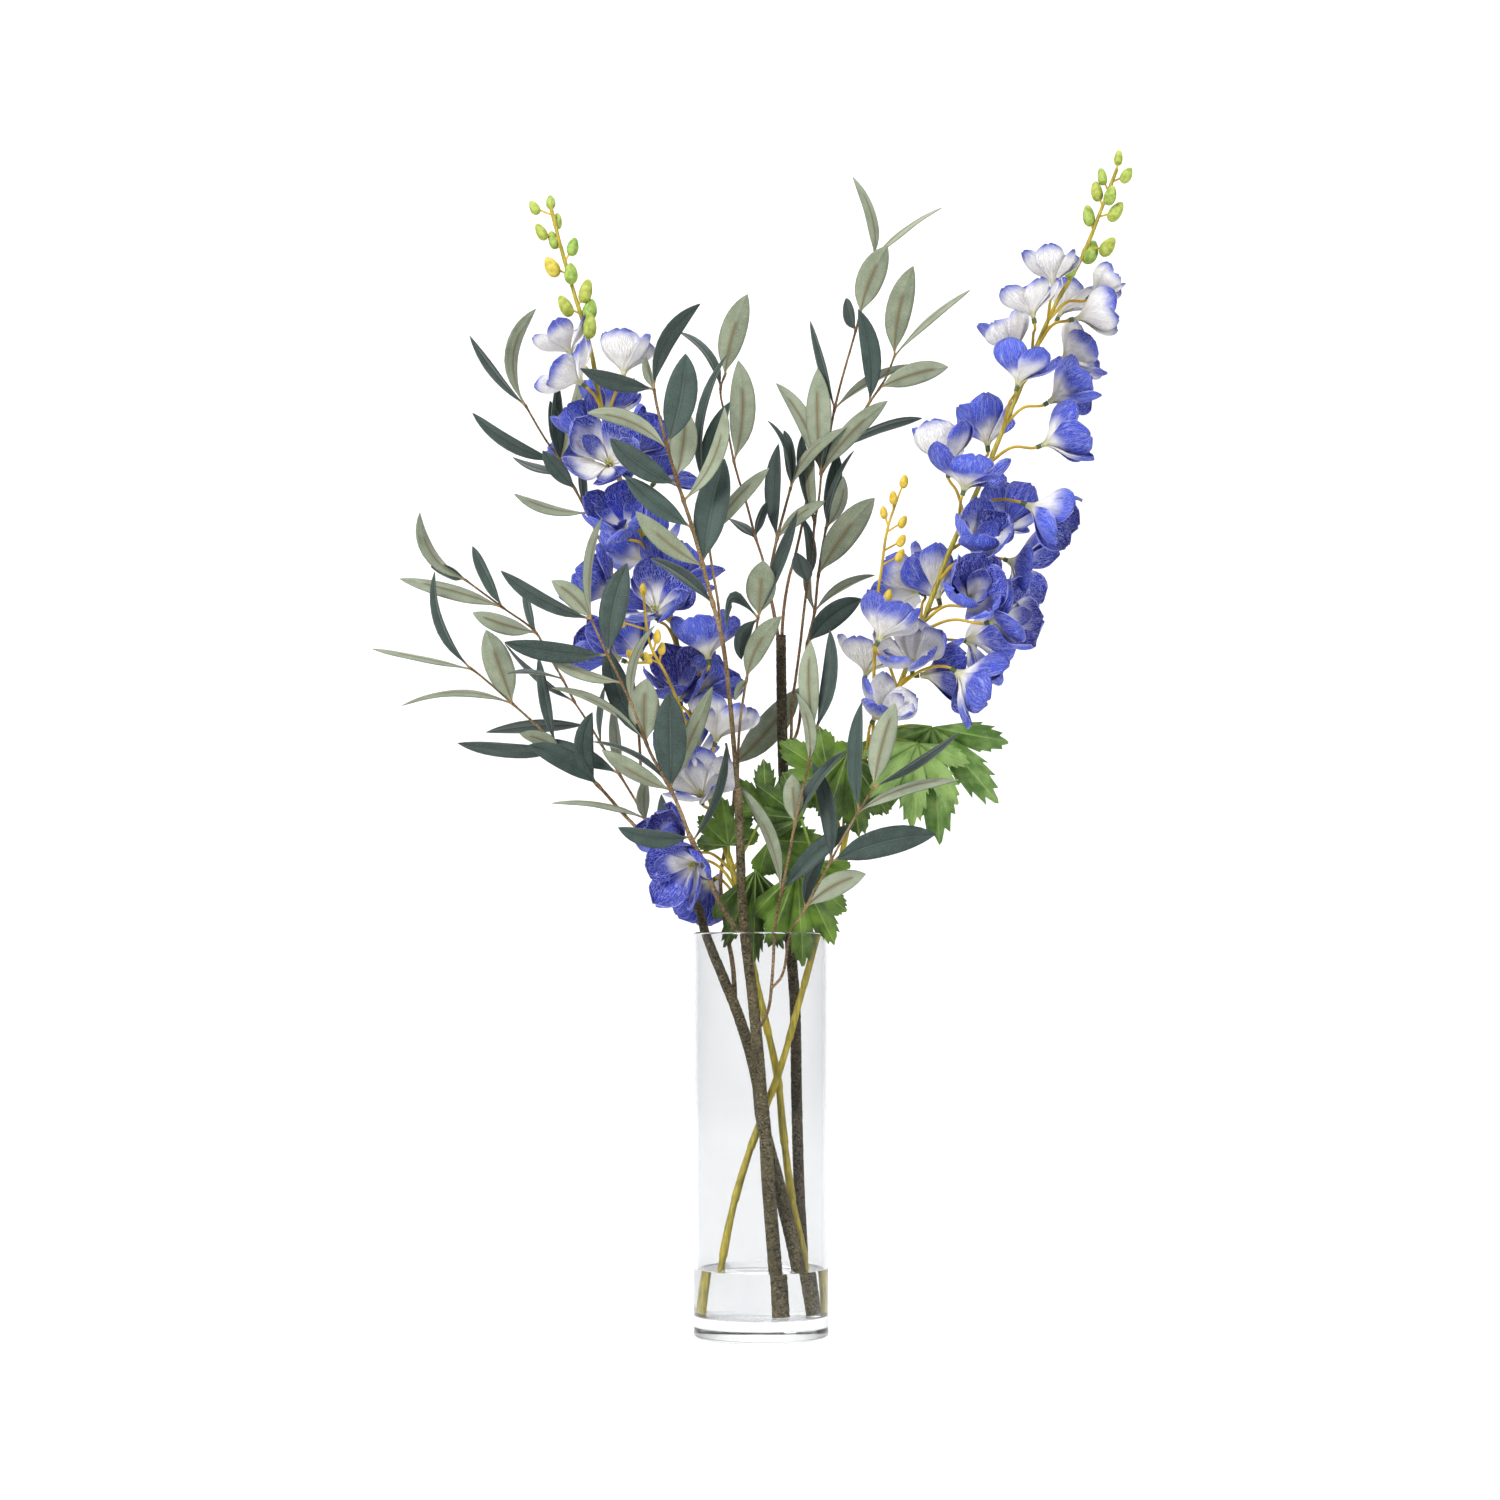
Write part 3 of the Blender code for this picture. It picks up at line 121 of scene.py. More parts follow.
OLIVE_LEFT = (
    (5.6, 2.3, 8, ((33, 17, -9), (26.7, 55.6, -7), (14, 108.9, -5), (0.7, 160.7, -3.5),
                   (-3, 190.4, -3), (-15.6, 234.8, 0), (-28, 266, 2), (-41, 298, 4),
                   (-47.4, 320, 12), (-60, 341, 22), (-75.6, 359, 30), (-88, 373, 36)),
     ((-62, 343, -74, 402, 12, DARK, 0, 16),)),
    (1.7, 1.1, 5, ((-86, 371, 35), (-100.7, 386, 42), (-120.3, 408, 50), (-134, 421, 54),
                   (-147.6, 434, 58)),
     ((-120, 408, -173, 438.5, 17, DARK, -5, -6), (-122, 410, -125, 463, 15, DARK, 8, -14),
      (-147.6, 434, -225, 440, 12, DARK, 2, 10), (-147.6, 434, -179, 447, 11, PALE, -2, -10))),
    (1.2, 0.9, 4, ((-147, 433.5, 58), (-162, 449, 62), (-184, 469, 66), (-208, 490, 70),
                   (-216, 496, 72)),
     ((-152, 440, -165, 504, 9, DARK, 2, 12), (-184, 469, -204, 524, 22, PALE, 0, -8),
      (-184, 469, -266, 468, 6, PALE, -8, 4), (-214, 495, -288, 510, 5, PALE, 0, 8),
      (-216, 496, -242, 567, 8, DARK, 9, -6))),
    (1.2, 0.9, 4, ((-78, 362, 31), (-86, 384, 40), (-105, 417, 52), (-119, 440, 58),
                   (-129.8, 457.6, 62), (-138.7, 471, 66)),
     ((-86, 384, -155, 395.5, 5, PALE, -5, 6), (-84, 382, -86, 413, 5, PALE, 1, 6),
      (-105, 417, -172, 442, 12, DARK, -3, -4), (-104, 416, -109, 469, 8, PALE, 1, 8),
      (-119, 440, -116, 482, 5, DARK, 2, 6), (-127, 453, -204, 448, 9, DARK, -5, 8),
      (-138.7, 471, -190, 514, 5, DARK, 4, 8))),
    (1.1, 0.9, 4, ((-138, 470, 66), (-148, 489, 70), (-158, 506, 74), (-167, 522, 78),
                   (-191.5, 540.5, 84), (-219.6, 561.3, 90)),
     ((-147, 488, -188, 491.5, 5, PALE, 0, -8), (-167, 522, -214, 537, 14, PALE, 2, -10),
      (-167, 522, -175, 558, 7, DARK, 1, 10), (-192, 541, -268, 562, 12, PALE, -3, -6),
      (-192, 541, -214, 586, 9, DARK, 0, 12), (-219.6, 561, -253, 611, 10, PALE, 9, -4),
      (-219, 561, -245, 571, 8, DARK, -2, 14))),
    (1.3, 0.9, 4, ((-88, 388, 42), (-91, 450, 68), (-100, 520, 80), (-113, 574, 80),
                   (-124, 600, 78), (-128.9, 610.7, 77), (-144, 640, 76), (-148.6, 648.6, 76),
                   (-161.6, 668, 78), (-175, 691, 80)),
     ((-129, 611, -183, 625, 9, PALE, 3, -4), (-130, 613, -132.5, 649, 6, DARK, 1, 6),
      (-129, 611, -121, 623, 5, DARK, 0, 2), (-138, 628, -162, 657, 12, DARK, 0, -8),
      (-144, 640, -184, 652, 8, DARK, 3, 10), (-149, 649, -214, 685, 9, DARK, 4, 2),
      (-149, 649, -156.5, 694, 10, DARK, 1, -8), (-149, 649, -134, 717, 10, PALE, -2, 4),
      (-149, 650, -151, 708, 8, DARK, 2, 14), (-175, 691, -167, 762, 9, PALE, 12, -4),
      (-174, 690, -216, 742, 6, DARK, 4, 8))),
    (2.2, 1.1, 5, ((-19, 243, 0), (-21, 275, 5), (-25.9, 302, 8), (-30, 338, 12),
                   (-25, 370, 24), (-20, 405, 36), (-26, 440, 44)),
     ((-22, 422, 28, 481, 22, PALE, -3, 24),)),
)

OLIVE_FRONT = (
    (5.4, 3.0, 8, ((12, 17, -12), (10.4, 51, -14), (5.2, 116, -16), (3, 153, -16.5),
                   (0.7, 175.6, -16.5), (-3, 220, -17.5), (-6.7, 257, -19.5), (-11.9, 298, -22),
                   (-14, 324, -28), (-15.5, 365, -37), (-17, 407, -45)), ()),
    (2.1, 1.1, 6, ((-16.8, 400, -44), (-20, 436, -51), (-23.4, 473.5, -57), (-29.3, 519, -65),
                   (-35.3, 541.5, -68), (-42.9, 570.6, -72), (-52, 603, -77),
                   (-57.4, 619.5, -80), (-64.7, 642.4, -84), (-69.4, 659, -87),
                   (-77.2, 690, -92), (-79.5, 702.7, -94)),
     ((-37, 543, -82, 577, 10, DARK, -2, 4), (-43, 571, -93, 612, 15, PALE, 3, -4),
      (-43, 572, -27, 651, 24, DARK, 2, 8), (-50, 600, -101, 638, 15, DARK, 2, 12),
      (-57.4, 620, -27, 689, 12, PALE, -7, -8), (-61, 632, -112, 666, 17, DARK, 4, 8),
      (-63, 637, -56.5, 688, 20, PALE, -2, 16), (-69, 658, -129, 685, 10, PALE, -7, -2),
      (-70, 661, -56, 729, 23, DARK, -3, -6), (-79.5, 703, -134, 718, 11, DARK, 1, -4),
      (-79, 703, -85, 726, 7, PALE, 1, 4), (-79.5, 703, -45, 766, 11, DARK, 11, 6))),
    (1.2, 0.9, 4, ((-29, 516, -65), (-32, 545, -64), (-37, 575, -62), (-40, 600, -62),
                   (-42, 630, -64)),
     ((-38, 592, 6, 644, 12, PALE, 3, 10), (-42, 629, -23, 693, 13, DARK, 4, 6),
      (-42, 630, -41, 661, 8, PALE, 0, -4), (-42, 628, -24.5, 729, 7, DARK, 9, 14))),
    (1.2, 0.9, 4, ((-17.4, 412, -46), (-16, 451, -44), (-11, 486, -42), (-6, 510, -42),
                   (-2, 534, -42)),
     ((-11, 487, 15, 534, 16, PALE, 5, -4), (-11, 487, -20, 472, 5, PALE, 0, -6),
      (-2, 534, 1.6, 575.5, 22, PALE, 0, -6), (-2, 534, 27, 612, 9, DARK, -4, 8),
      (-3, 533, -26, 526, 10, DARK, -20, 8), (-3, 532, -14.5, 502, 10, DARK, -6, 4))),
    (2.2, 1.2, 5, ((-17, 300, -24), (-30, 320, -28), (-37.8, 339, -36), (-45, 357, -42),
                   (-51.4, 368, -46), (-60, 390, -52), (-67.6, 407, -56), (-82, 432.7, -62),
                   (-85.5, 441, -64)),
     ((-51, 367, -26, 438, 6, DARK, -5, -6), (-52, 371, -106, 377.5, 10, DARK, 4, -6),
      (-67, 405, -67.6, 478, 24, DARK, 0, -10), (-67, 405, -118, 435, 12, PALE, 2, -6),
      (-70, 411, -125, 441, 12, DARK, -6, 6), (-67, 407, -36, 482, 12, PALE, 0, 8),
      (-85, 440, -84.6, 488, 23, PALE, 2, -6), (-85.5, 441, -114.6, 511, 19, DARK, 4, 4),
      (-86, 443, -155.6, 481, 5, PALE, -7, 6))),
    (1.2, 1.0, 4, ((-85, 440, -64), (-95, 466, -72), (-106, 490, -76), (-115.6, 509, -78),
                   (-126, 532, -80)),
     ((-96, 468, -79, 527, 6, PALE, 5, -4), (-104, 485, -158, 504, 9, PALE, 3, 4),
      (-113, 505, -99.4, 573.5, 20, DARK, 3, 6), (-113, 506, -190.5, 515, 15, DARK, 3, -2),
      (-126, 532, -193, 568, 10, DARK, 3, 2), (-126, 532, -155.6, 560.5, 15, PALE, -3, 12),
      (-126, 532, -118, 607, 6, PALE, 3, 8))),
    (1.4, 1.0, 5, ((-3, 226, -17), (5, 242, -22), (8, 265, -25), (10.4, 303.5, -28),
                   (14.8, 328.4, -36), (20, 353, -43), (25, 380, -50), (30, 402, -55),
                   (35.3, 425, -60), (40, 450, -62)),
     ((14.8, 329, -15.3, 407, 9, PALE, -5, -6), (15, 330, 69, 380, 14, DARK, 4, -6),
      (25, 380, 23, 417, 15, PALE, 0, -8), (25, 381, 62.4, 434, 8, DARK, 2, 4),
      (35, 425, 26.5, 477, 9, PALE, -4, -6), (40, 449, 37, 516, 15, PALE, 3, -4),
      (40, 449, 51, 524, 11, DARK, -8, 8))),
    (1.2, 0.9, 4, ((7, 258, -24), (14.8, 267, -26), (21.5, 298, -30), (32.3, 316.7, -38),
                   (51.4, 351.9, -55), (61, 370, -61), (71.9, 388.5, -67), (83.6, 407.5, -75)),
     ((33, 318, 77.7, 343, 17, PALE, 4, -8), (33, 318, 48.4, 358, 10, DARK, 5, 4),
      (51.4, 352, 129.7, 372.5, 21, DARK, 4, -4), (51, 352, 38.2, 426, 12, DARK, -5, 6),
      (72, 389, 146.6, 412.6, 9, PALE, 5, -4), (72.5, 390, 74.8, 470.5, 11, DARK, 2, 4),
      (84, 408, 99.7, 469.7, 18, PALE, 2, 6), (84, 408, 146.6, 448, 6, DARK, 1, -4))),
)

OLIVE_BACK = (
    (4.4, 3.8, 8, ((32, 17, 22), (31, 64.5, 22), (28.9, 101.5, 21), (26.7, 175.6, 18),
                   (25.2, 249.6, 18), (21.5, 298, 24), (18.5, 365, 31), (16.3, 427, 36),
                   (15.2, 475, 41), (14.8, 520, 45)), ()),
    (1.5, 1.1, 5, ((15, 512, 44), (17, 540, 50), (20.6, 562, 56), (25, 578, 60),
                   (30, 600, 66), (34, 622, 70)), ()),
    (1.7, 1.1, 5, ((14.4, 508, 44), (9.5, 537, 48), (6, 556, 52), (7.4, 570, 54),
                   (11.8, 591.6, 58), (18, 615, 62), (22, 629.6, 64)),
     ((12, 592, 13, 662, 12, DARK, 4, 6), (12, 592, 47.7, 619.5, 11, PALE, 4, -8),
      (22, 629, 5, 679, 6, DARK, -4, -4), (22, 630, 17, 672, 8, DARK, -4, 8),
      (22, 630, 63, 674, 10, PALE, 8, -8))),
    (1.2, 0.9, 4, ((6, 552, 51), (1, 577, 54), (-3.9, 592, 56), (-10.6, 617, 60),
                   (-16.9, 637, 63), (-20, 648.6, 65), (-26, 680, 68), (-30, 703, 70),
                   (-26, 715, 70)),
     ((-4, 592, -24, 606.5, 8, DARK, 0, 6), (-4, 593, 4.5, 619, 6, DARK, 2, -4),
      (-20, 649, -17, 724, 20, PALE, -5, -8), (-27, 712, -10, 773, 20, PALE, 3, -4),
      (-30, 703, -61, 745, 8, DARK, -6, 6))),
    (1.4, 1.0, 5, ((17, 414, 35), (22, 441, 40), (23, 470, 44), (25.5, 487, 46),
                   (29, 513, 49), (32, 540, 52), (34.5, 559, 54), (38, 580, 57),
                   (39.7, 603, 60), (43, 622, 62), (44.8, 641.4, 64)),
     ((34.5, 560, 31, 607, 8, DARK, -3, 4), (34, 559, 27, 581, 5, DARK, 0, -6),
      (39.7, 603, 30, 668, 11, DARK, 3, 10), (39.7, 604, 38, 660, 9, PALE, 3, 2),
      (44.8, 641, 42, 718, 23, PALE, 1, 6), (44, 640, 11, 707, 13, PALE, -5, 2),
      (44.8, 642, 51, 667, 7, DARK, 0, -8), (45, 641, 94, 694, 15, PALE, 4, -14))),
    (1.4, 1.1, 4, ((22, 438, 39), (27, 449, 41), (30.5, 482, 46), (34, 512, 50),
                   (39.7, 537.4, 56), (42, 560, 60), (45, 582, 64), (48.4, 600.3, 67)),
     ((35, 514, 74.8, 547, 18, DARK, 4, -8), (39.7, 538, 84.3, 564.5, 5, PALE, 5, -4),
      (39.5, 538, 37, 575, 6, PALE, 2, 8), (43, 565, 84.3, 622, 22, PALE, 3, -6),
      (48, 600, 57, 655, 12, DARK, 0, 12), (48, 600, 61, 638, 10, PALE, -4, -6),
      (48, 601, 69, 657, 5, DARK, 2, 4))),
    (1.2, 0.9, 4, ((44, 639, 64), (50, 665, 70), (55, 690, 75), (60, 710, 79),
                   (68, 738, 84), (75, 764, 88), (84, 800, 94)),
     ((54, 688, 36.5, 753, 5, DARK, -3, 8), (55, 688, 117, 720, 5, PALE, 4, 8),
      (70, 746, 63, 770, 8, DARK, 0, 10), (75, 757, 94, 809, 21, PALE, 3, -10),
      (84, 800, 68, 860, 10, PALE, -5, 6), (84, 799, 134, 837, 6, PALE, 3, 2))),
    (1.2, 0.9, 4, ((45, 641, 64), (56, 656, 67), (68, 674, 70), (80, 692, 73),
                   (92, 710, 76), (99, 727, 79)),
     ((57, 657, 119.5, 681, 5, DARK, 4, 8), (80, 692, 72, 762, 12, DARK, -6, -6),
      (88, 703, 139, 719, 17, PALE, 3, -4), (99, 727, 113, 794, 20, PALE, 4, 4),
      (99, 727, 155, 776, 6, PALE, 6, -6))),
)

# The stalk of each delphinium, then its florets: where the middle and the
# base of each show, whether it is in front of the stalk, beside it or behind
# it, and its size. The sprig, the tip buds and the lobed leaves follow.
FRONT = -1
BESIDE = 0
BEHIND = 1

STALK_LEFT = ((36, 17, 7.6), (32.6, 53, 8.6), (23, 101.5, 10), (16.3, 153, 11.5), (12.6, 190, 12.4),
              (3, 234.8, 8), (-3, 260.7, 5), (-11.9, 301.5, 2), (-19.3, 338.5, 2),
              (-30.4, 375.6, 8), (-45.2, 427.4, 15), (-52.6, 472, 16), (-60, 500.7, 16),
              (-68.5, 540, 18), (-80.4, 575.6, 20), (-104.4, 634.8, 21), (-119.3, 694, 22),
              (-127, 735, 22), (-139, 775, 23), (-149, 810, 24), (-156, 838, 25))
STALK_RIGHT = ((-34, 17, 5), (-28.9, 55.6, 5), (-19.3, 101.5, 5), (-8, 138.5, 5), (3, 168, 5),
               (14, 197.8, 3.6), (28.9, 249.6, 4), (43.3, 300, 3), (54.8, 331, 3), (62.2, 368, 2),
               (80, 438, 0), (98, 472, 0), (119.8, 529.4, 0), (141, 585, 0), (163, 633.5, 0),
               (189.6, 697, 0), (217, 762.5, 0), (237.6, 799.5, 0), (252.6, 836.5, 0),
               (264, 866, 0))
STALK_RADII = (3.2, 1.4)

FLORETS_LEFT = (
    (-146, 742, -140, 726, BESIDE, 0.72), (-146, 718, -125, 700, FRONT, 0.86),
    (-100, 729, -103, 707, FRONT, 0.84), (-110, 697, -112, 680, BEHIND, 0.9),
    (-132, 683, -122, 668, BESIDE, 0.9), (-138, 659, -124, 648, BEHIND, 0.95),
    (-114, 654, -112, 645, FRONT, 1.0), (-86, 667, -96, 652, BESIDE, 0.95),
    (-66, 647, -80, 632, BEHIND, 0.9), (-105, 608, -100, 595, FRONT, 1.0),
    (-90, 590, -86, 574, BEHIND, 1.0), (-61, 572, -70, 557, BESIDE, 1.0),
    (-125, 560, -108, 548, BESIDE, 1.0), (-80, 548, -78, 535, FRONT, 1.0),
    (-122, 510, -104, 502, BESIDE, 1.0), (-97, 518, -88, 504, BEHIND, 1.0),
    (-42, 522, -39, 501, FRONT, 1.0), (-38, 488, -48, 476, BESIDE, 0.9),
    (-63, 487, -60, 472, FRONT, 1.0), (-30, 460, -34, 440, BESIDE, 0.95),
    (-46, 412, -44, 398, FRONT, 0.95), (-54, 440, -50, 424, BEHIND, 0.95),
    (-70, 371, -56, 362, BESIDE, 0.95), (-60, 346, -46, 352, FRONT, 1.0),
    (-46, 330, -36, 338, BEHIND, 0.9),
)
FLORETS_RIGHT = (
    (217, 794, 217, 778, FRONT, 0.74), (199, 771, 203, 751, FRONT, 0.78),
    (255, 780, 243, 770, BESIDE, 0.66), (228, 771, 218, 751, BEHIND, 0.8),
    (248, 758, 230, 754, BESIDE, 0.8), (184, 742, 191, 726, BESIDE, 0.82),
    (195, 722, 188, 697, FRONT, 0.88), (238, 732, 220, 722, BESIDE, 0.86),
    (229, 702, 210, 691, BESIDE, 0.9), (166, 677, 168, 660, BEHIND, 0.9),
    (137, 660, 138.6, 640, BESIDE, 0.95), (156, 646, 149, 623, FRONT, 0.95),
    (226, 668, 206, 660, BESIDE, 0.95), (184, 610, 180, 596, BEHIND, 1.0),
    (215, 610, 197, 617, FRONT, 1.0), (163, 592, 158, 578, FRONT, 1.0),
    (203, 568, 184, 575, BESIDE, 1.05), (157, 553, 154, 544, FRONT, 1.05),
    (128, 562, 132, 546, BESIDE, 0.95), (106, 560, 118, 552, BEHIND, 0.9),
    (187, 535, 170, 530, BESIDE, 1.0), (95, 533, 86, 514, FRONT, 0.95),
    (82, 508, 77, 488, BEHIND, 0.9), (111, 510, 112, 495, FRONT, 0.95),
    (138, 492, 116, 490, BESIDE, 1.0), (170, 515, 152, 516, BEHIND, 1.0),
    (160, 482, 143, 494, BESIDE, 0.95),
    (92, 470, 84, 458, FRONT, 0.85),
)

SPRIG_LEFT = ((-43, 420, 14), (-70, 490, -44), (-82, 512.6, -50), (-87.5, 553, -52))
SPRIG_RIGHT = ((83, 446, 0), (85.8, 543, -14), (89.4, 570, -16), (93.8, 599, -16), (101, 621, -16))
SPRIG_BUDS_LEFT = ((-73.6, 510), (-77, 519), (-96, 505), (-84, 503), (-87.5, 554), (-104, 530))
SPRIG_BUDS_RIGHT = ((106, 634), (98, 622), (91, 611), (105, 604), (104, 590), (103, 579), (94, 549))
TIP_BUDS_LEFT = ((-156, 841), (-168, 837), (-151, 827), (-163, 819), (-154, 813), (-139.5, 808),
                 (-155, 793), (-141, 788), (-130, 775), (-145, 764), (-127, 761), (-127, 749))
TIP_BUDS_RIGHT = ((265, 874), (271, 861), (253, 860), (259, 846), (249, 849), (263, 834),
                  (243, 831), (257, 808), (244, 804), (229, 794))

# Each lobed leaf: where it leaves the stalk, the knots of its leaf stalk, the
# point where its lobes meet, its middle tip, how far the lobes spread and
# how far out the notches between them are.
LOBED_LEFT = (
    ((-24, 354, 4), (), (-24, 364, -6), (-29, 400, -8), 0.75, 0.54),
    ((-21, 345, 3), (), (4, 390, -8), (2, 428, -12), 0.85, 0.45),
    ((-15, 318, 2), (), (-4, 346, -7), (-6, 274, -8), 0.4, 0.54),
)
LOBED_RIGHT = (
    ((61, 362, 2), (), (50, 416, -8), (14, 441, -12), 0.85, 0.56),
    ((57, 340, 2), ((40, 352, -4),), (27, 346, -9), (31, 276, -9), 0.46, 0.6),
    ((60, 358, 2), (), (64, 432, -14), (73, 372, -20), 0.5, 0.74),
    ((57, 342, 2), (), (42, 352, -14), (56, 318, -20), 0.6, 0.54),
    ((50, 318, 3), (), (30, 384, -14), (-4, 410, -18), 0.6, 0.5),
    ((50, 318, 3), ((34, 350, -4),), (6, 368, -14), (46, 366, -20), 1.0, 0.6),
    ((78, 430, 0), ((90, 447, -4), (108, 453, -8)), (127, 452, -10), (133, 364, -16), 0.72, 0.34),
    ((78, 430, 0), ((92, 442, -8),), (116, 440, -24), (112, 378, -30), 0.72, 0.36),
)


def spot(across, up, depth):
    """Where a thing stands that shows at this place and lies this far back."""
    grow = (VIEW_DISTANCE + depth) / VIEW_DISTANCE
    real_up = VIEW_HEIGHT + (up - VIEW_HEIGHT) * grow if up > VIEW_HEIGHT else up
    return Vector((VIEW_ACROSS + (across - VIEW_ACROSS) * grow, depth, real_up))


def tapered(start, end, count):
    return [start + (end - start) * i / (count - 1) for i in range(count)]


def tube_shell(route, radii, spare):
    """Points and faces of a six-sided tube, to test whether it is clear of the rest."""
    points = []
    faces = []
    sides = 6
    for i, place in enumerate(route):
        ahead = route[min(i + 1, len(route) - 1)] - route[max(i - 1, 0)]
        side = ahead.cross(Vector((0, 1, 0))).normalized()
        other = ahead.cross(side).normalized()
        for k in range(sides):
            turn = 2 * math.pi * k / sides
            points.append(place + (side * math.cos(turn) + other * math.sin(turn)) * (radii[i] + spare))
        if i:
            for k in range(sides):
                a = (i - 1) * sides + k
                b = (i - 1) * sides + (k + 1) % sides
                faces.append((a, b, b + sides, a + sides))
    faces.append(tuple(range(sides)))
    faces.append(tuple(range(len(points) - sides, len(points))))
    return points, faces


def surface_shell(surface, thickness, spare):
    """Points and faces of a solid blade a little thicker than the real one."""
    points, faces = surface
    normals = [Vector() for _ in points]
    edges = set()
    for face in faces:
        a, b, c = (points[i] for i in face[:3])
        normal = (b - a).cross(c - a)
        for i in face:
            normals[i] += normal
        edges.update(zip(face, face[1:] + face[:1]))
    half = thickness / 2 + spare
    above = [p + n.normalized() * half for p, n in zip(points, normals)]
    below = [p - n.normalized() * half for p, n in zip(points, normals)]
    count = len(points)
    shell = list(faces) + [tuple(i + count for i in face) for face in faces]
    shell += [(i, j, j + count, i + count) for i, j in sorted(edges) if (j, i) not in edges]
    return above + below, shell


class Standing:
    """What stands in the arrangement so far, for finding a clear place for more."""

    def __init__(self):
        self.things = []

    def add(self, owner, shell):
        points, faces = shell
        self.things.append((owner, *bounds_of(points), BVHTree.FromPolygons(points, faces)))

    def touching(self, shell, keep_off):
        """How many standing things this one would cross, of those that keep_off picks."""
        points, faces = shell
        low, high = bounds_of(points)
        tree = None
        found = 0
        for owner, other_low, other_high, other_tree in self.things:
            if not keep_off(owner):
                continue
            if any(low[i] > other_high[i] or high[i] < other_low[i] for i in range(3)):
                continue
            tree = tree or BVHTree.FromPolygons(points, faces)
            if tree.overlap(other_tree):
                found += 1
        return found


def bounds_of(points):
    low = tuple(min(p[i] for p in points) for i in range(3))
    high = tuple(max(p[i] for p in points) for i in range(3))
    return low, high


def leaf_surface(base, tip, width, side, roll, bulge):
    """An olive leaf as a folded blade: a narrow foot, a broad middle and a pointed tip."""
    run = tip - base
    across = run.cross(Vector((0, 1, 0))).normalized()
    middle = (base + tip) / 2 + across * bulge * 2
    points = []
    for share, broad in LEAF_ROWS:
        place = base * (1 - share) ** 2 + middle * 2 * share * (1 - share) + tip * share**2
        ahead = ((middle - base) * (1 - share) + (tip - middle) * share).normalized()
        flat = ahead.cross(Vector((0, 1, 0))).normalized()
        facing = ahead.cross(flat)
        half = (PETIOLE_WIDTH + (width - PETIOLE_WIDTH) * broad) / 2
        out = flat * math.cos(roll) + facing * math.sin(roll)
        up = ahead.cross(out) * side
        lift = up * half * LEAF_FOLD * 2
        points += [place + out * half + lift, place.copy(), place - out * half + lift]
    points.append(tip.copy())
    faces = []
    rows = len(LEAF_ROWS)
    for row in range(rows - 1):
        for k in range(2):
            a = row * 3 + k
            faces.append((a, a + 1, a + 4) if k == 0 else (a, a + 1, a + 3))
            faces.append((a, a + 4, a + 3) if k == 0 else (a + 1, a + 4, a + 3))
    last = (rows - 1) * 3
    faces += [(last, last + 1, last + 3), (last + 1, last + 2, last + 3)]
    return points, faces


def floret_surface(base, axis, spin, size, openness):
    """A cup of five broad petals that have grown together at the throat."""
    side = axis.cross(Vector((0, 1, 0.3))).normalized()
    other = axis.cross(side)

    def at(degrees, ring):
        turn = spin + math.radians(degrees)
        out = side * math.cos(turn) + other * math.sin(turn)
        return base + (out * ring[0] * openness + axis * ring[1]) * size

    points = []
    step = 360 / FLORET_LOBES
    for lobe in range(FLORET_LOBES):
        middle = lobe * step
        points += [at(middle, FLORET_THROAT), at(middle, PETAL_BELLY), at(middle + step / 2, PETAL_NOTCH),
                   at(middle - PETAL_TIP_TURN, PETAL_TIP), at(middle + PETAL_TIP_TURN, PETAL_TIP)]
    faces = [(0, lobe * 5, lobe * 5 + 5) for lobe in range(1, FLORET_LOBES - 1)]
    for lobe in range(FLORET_LOBES):
        throat, belly, notch, tip, tip_after = range(lobe * 5, lobe * 5 + 5)
        after = (lobe + 1) % FLORET_LOBES * 5
        notch_before = (lobe - 1) % FLORET_LOBES * 5 + 2
        faces += [(throat, belly, notch), (throat, notch, after), (after, notch, after + 1),
                  (belly, notch_before, tip), (belly, tip, tip_after), (belly, tip_after, notch)]
    return points, faces


def lobed_surface(joint, tip, spread, notch):
    """A leaf of five toothed lobes that meet at the end of its stalk."""
    run = tip - joint
    reach = run.length
    ahead = run.normalized()
    out = ahead.cross(Vector((0, 1, 0))).normalized()
    up = ahead.cross(out)

    def at(angle, distance, lift):
        turn = math.radians(angle * spread)
        return joint + (ahead * math.cos(turn) + out * math.sin(turn)) * distance + up * lift

    points = [joint.copy()]
    for angle, share in LOBED_LOBES:
        points.append(at(angle, reach * share * 0.55, reach * LOBE_CUP))
    rim = len(points)
    points.append(at(LOBED_LOBES[0][0] - LOBE_TURN, reach * notch * 0.8, 0))
    for number, (angle, share) in enumerate(LOBED_LOBES):
        far = reach * share
        last = number == len(LOBED_LOBES) - 1
        points.append(at(angle - LOBE_TURN * 0.62, far * 0.8, 0))
        points.append(at(angle, far, -reach * LOBE_CUP))
        points.append(at(angle + LOBE_TURN * 0.62, far * 0.8, 0))
        points.append(at(angle + LOBE_TURN, reach * notch * (0.8 if last else 1), 0))
    faces = []
    for lobe in range(len(LOBED_LOBES)):
        rib = 1 + lobe
        start = rim + lobe * 4
        faces += [(0, start, rib), (start, start + 1, rib), (start + 1, start + 2, rib),
                  (start + 2, start + 3, rib), (start + 3, start + 4, rib), (0, rib, start + 4)]
    return points, faces


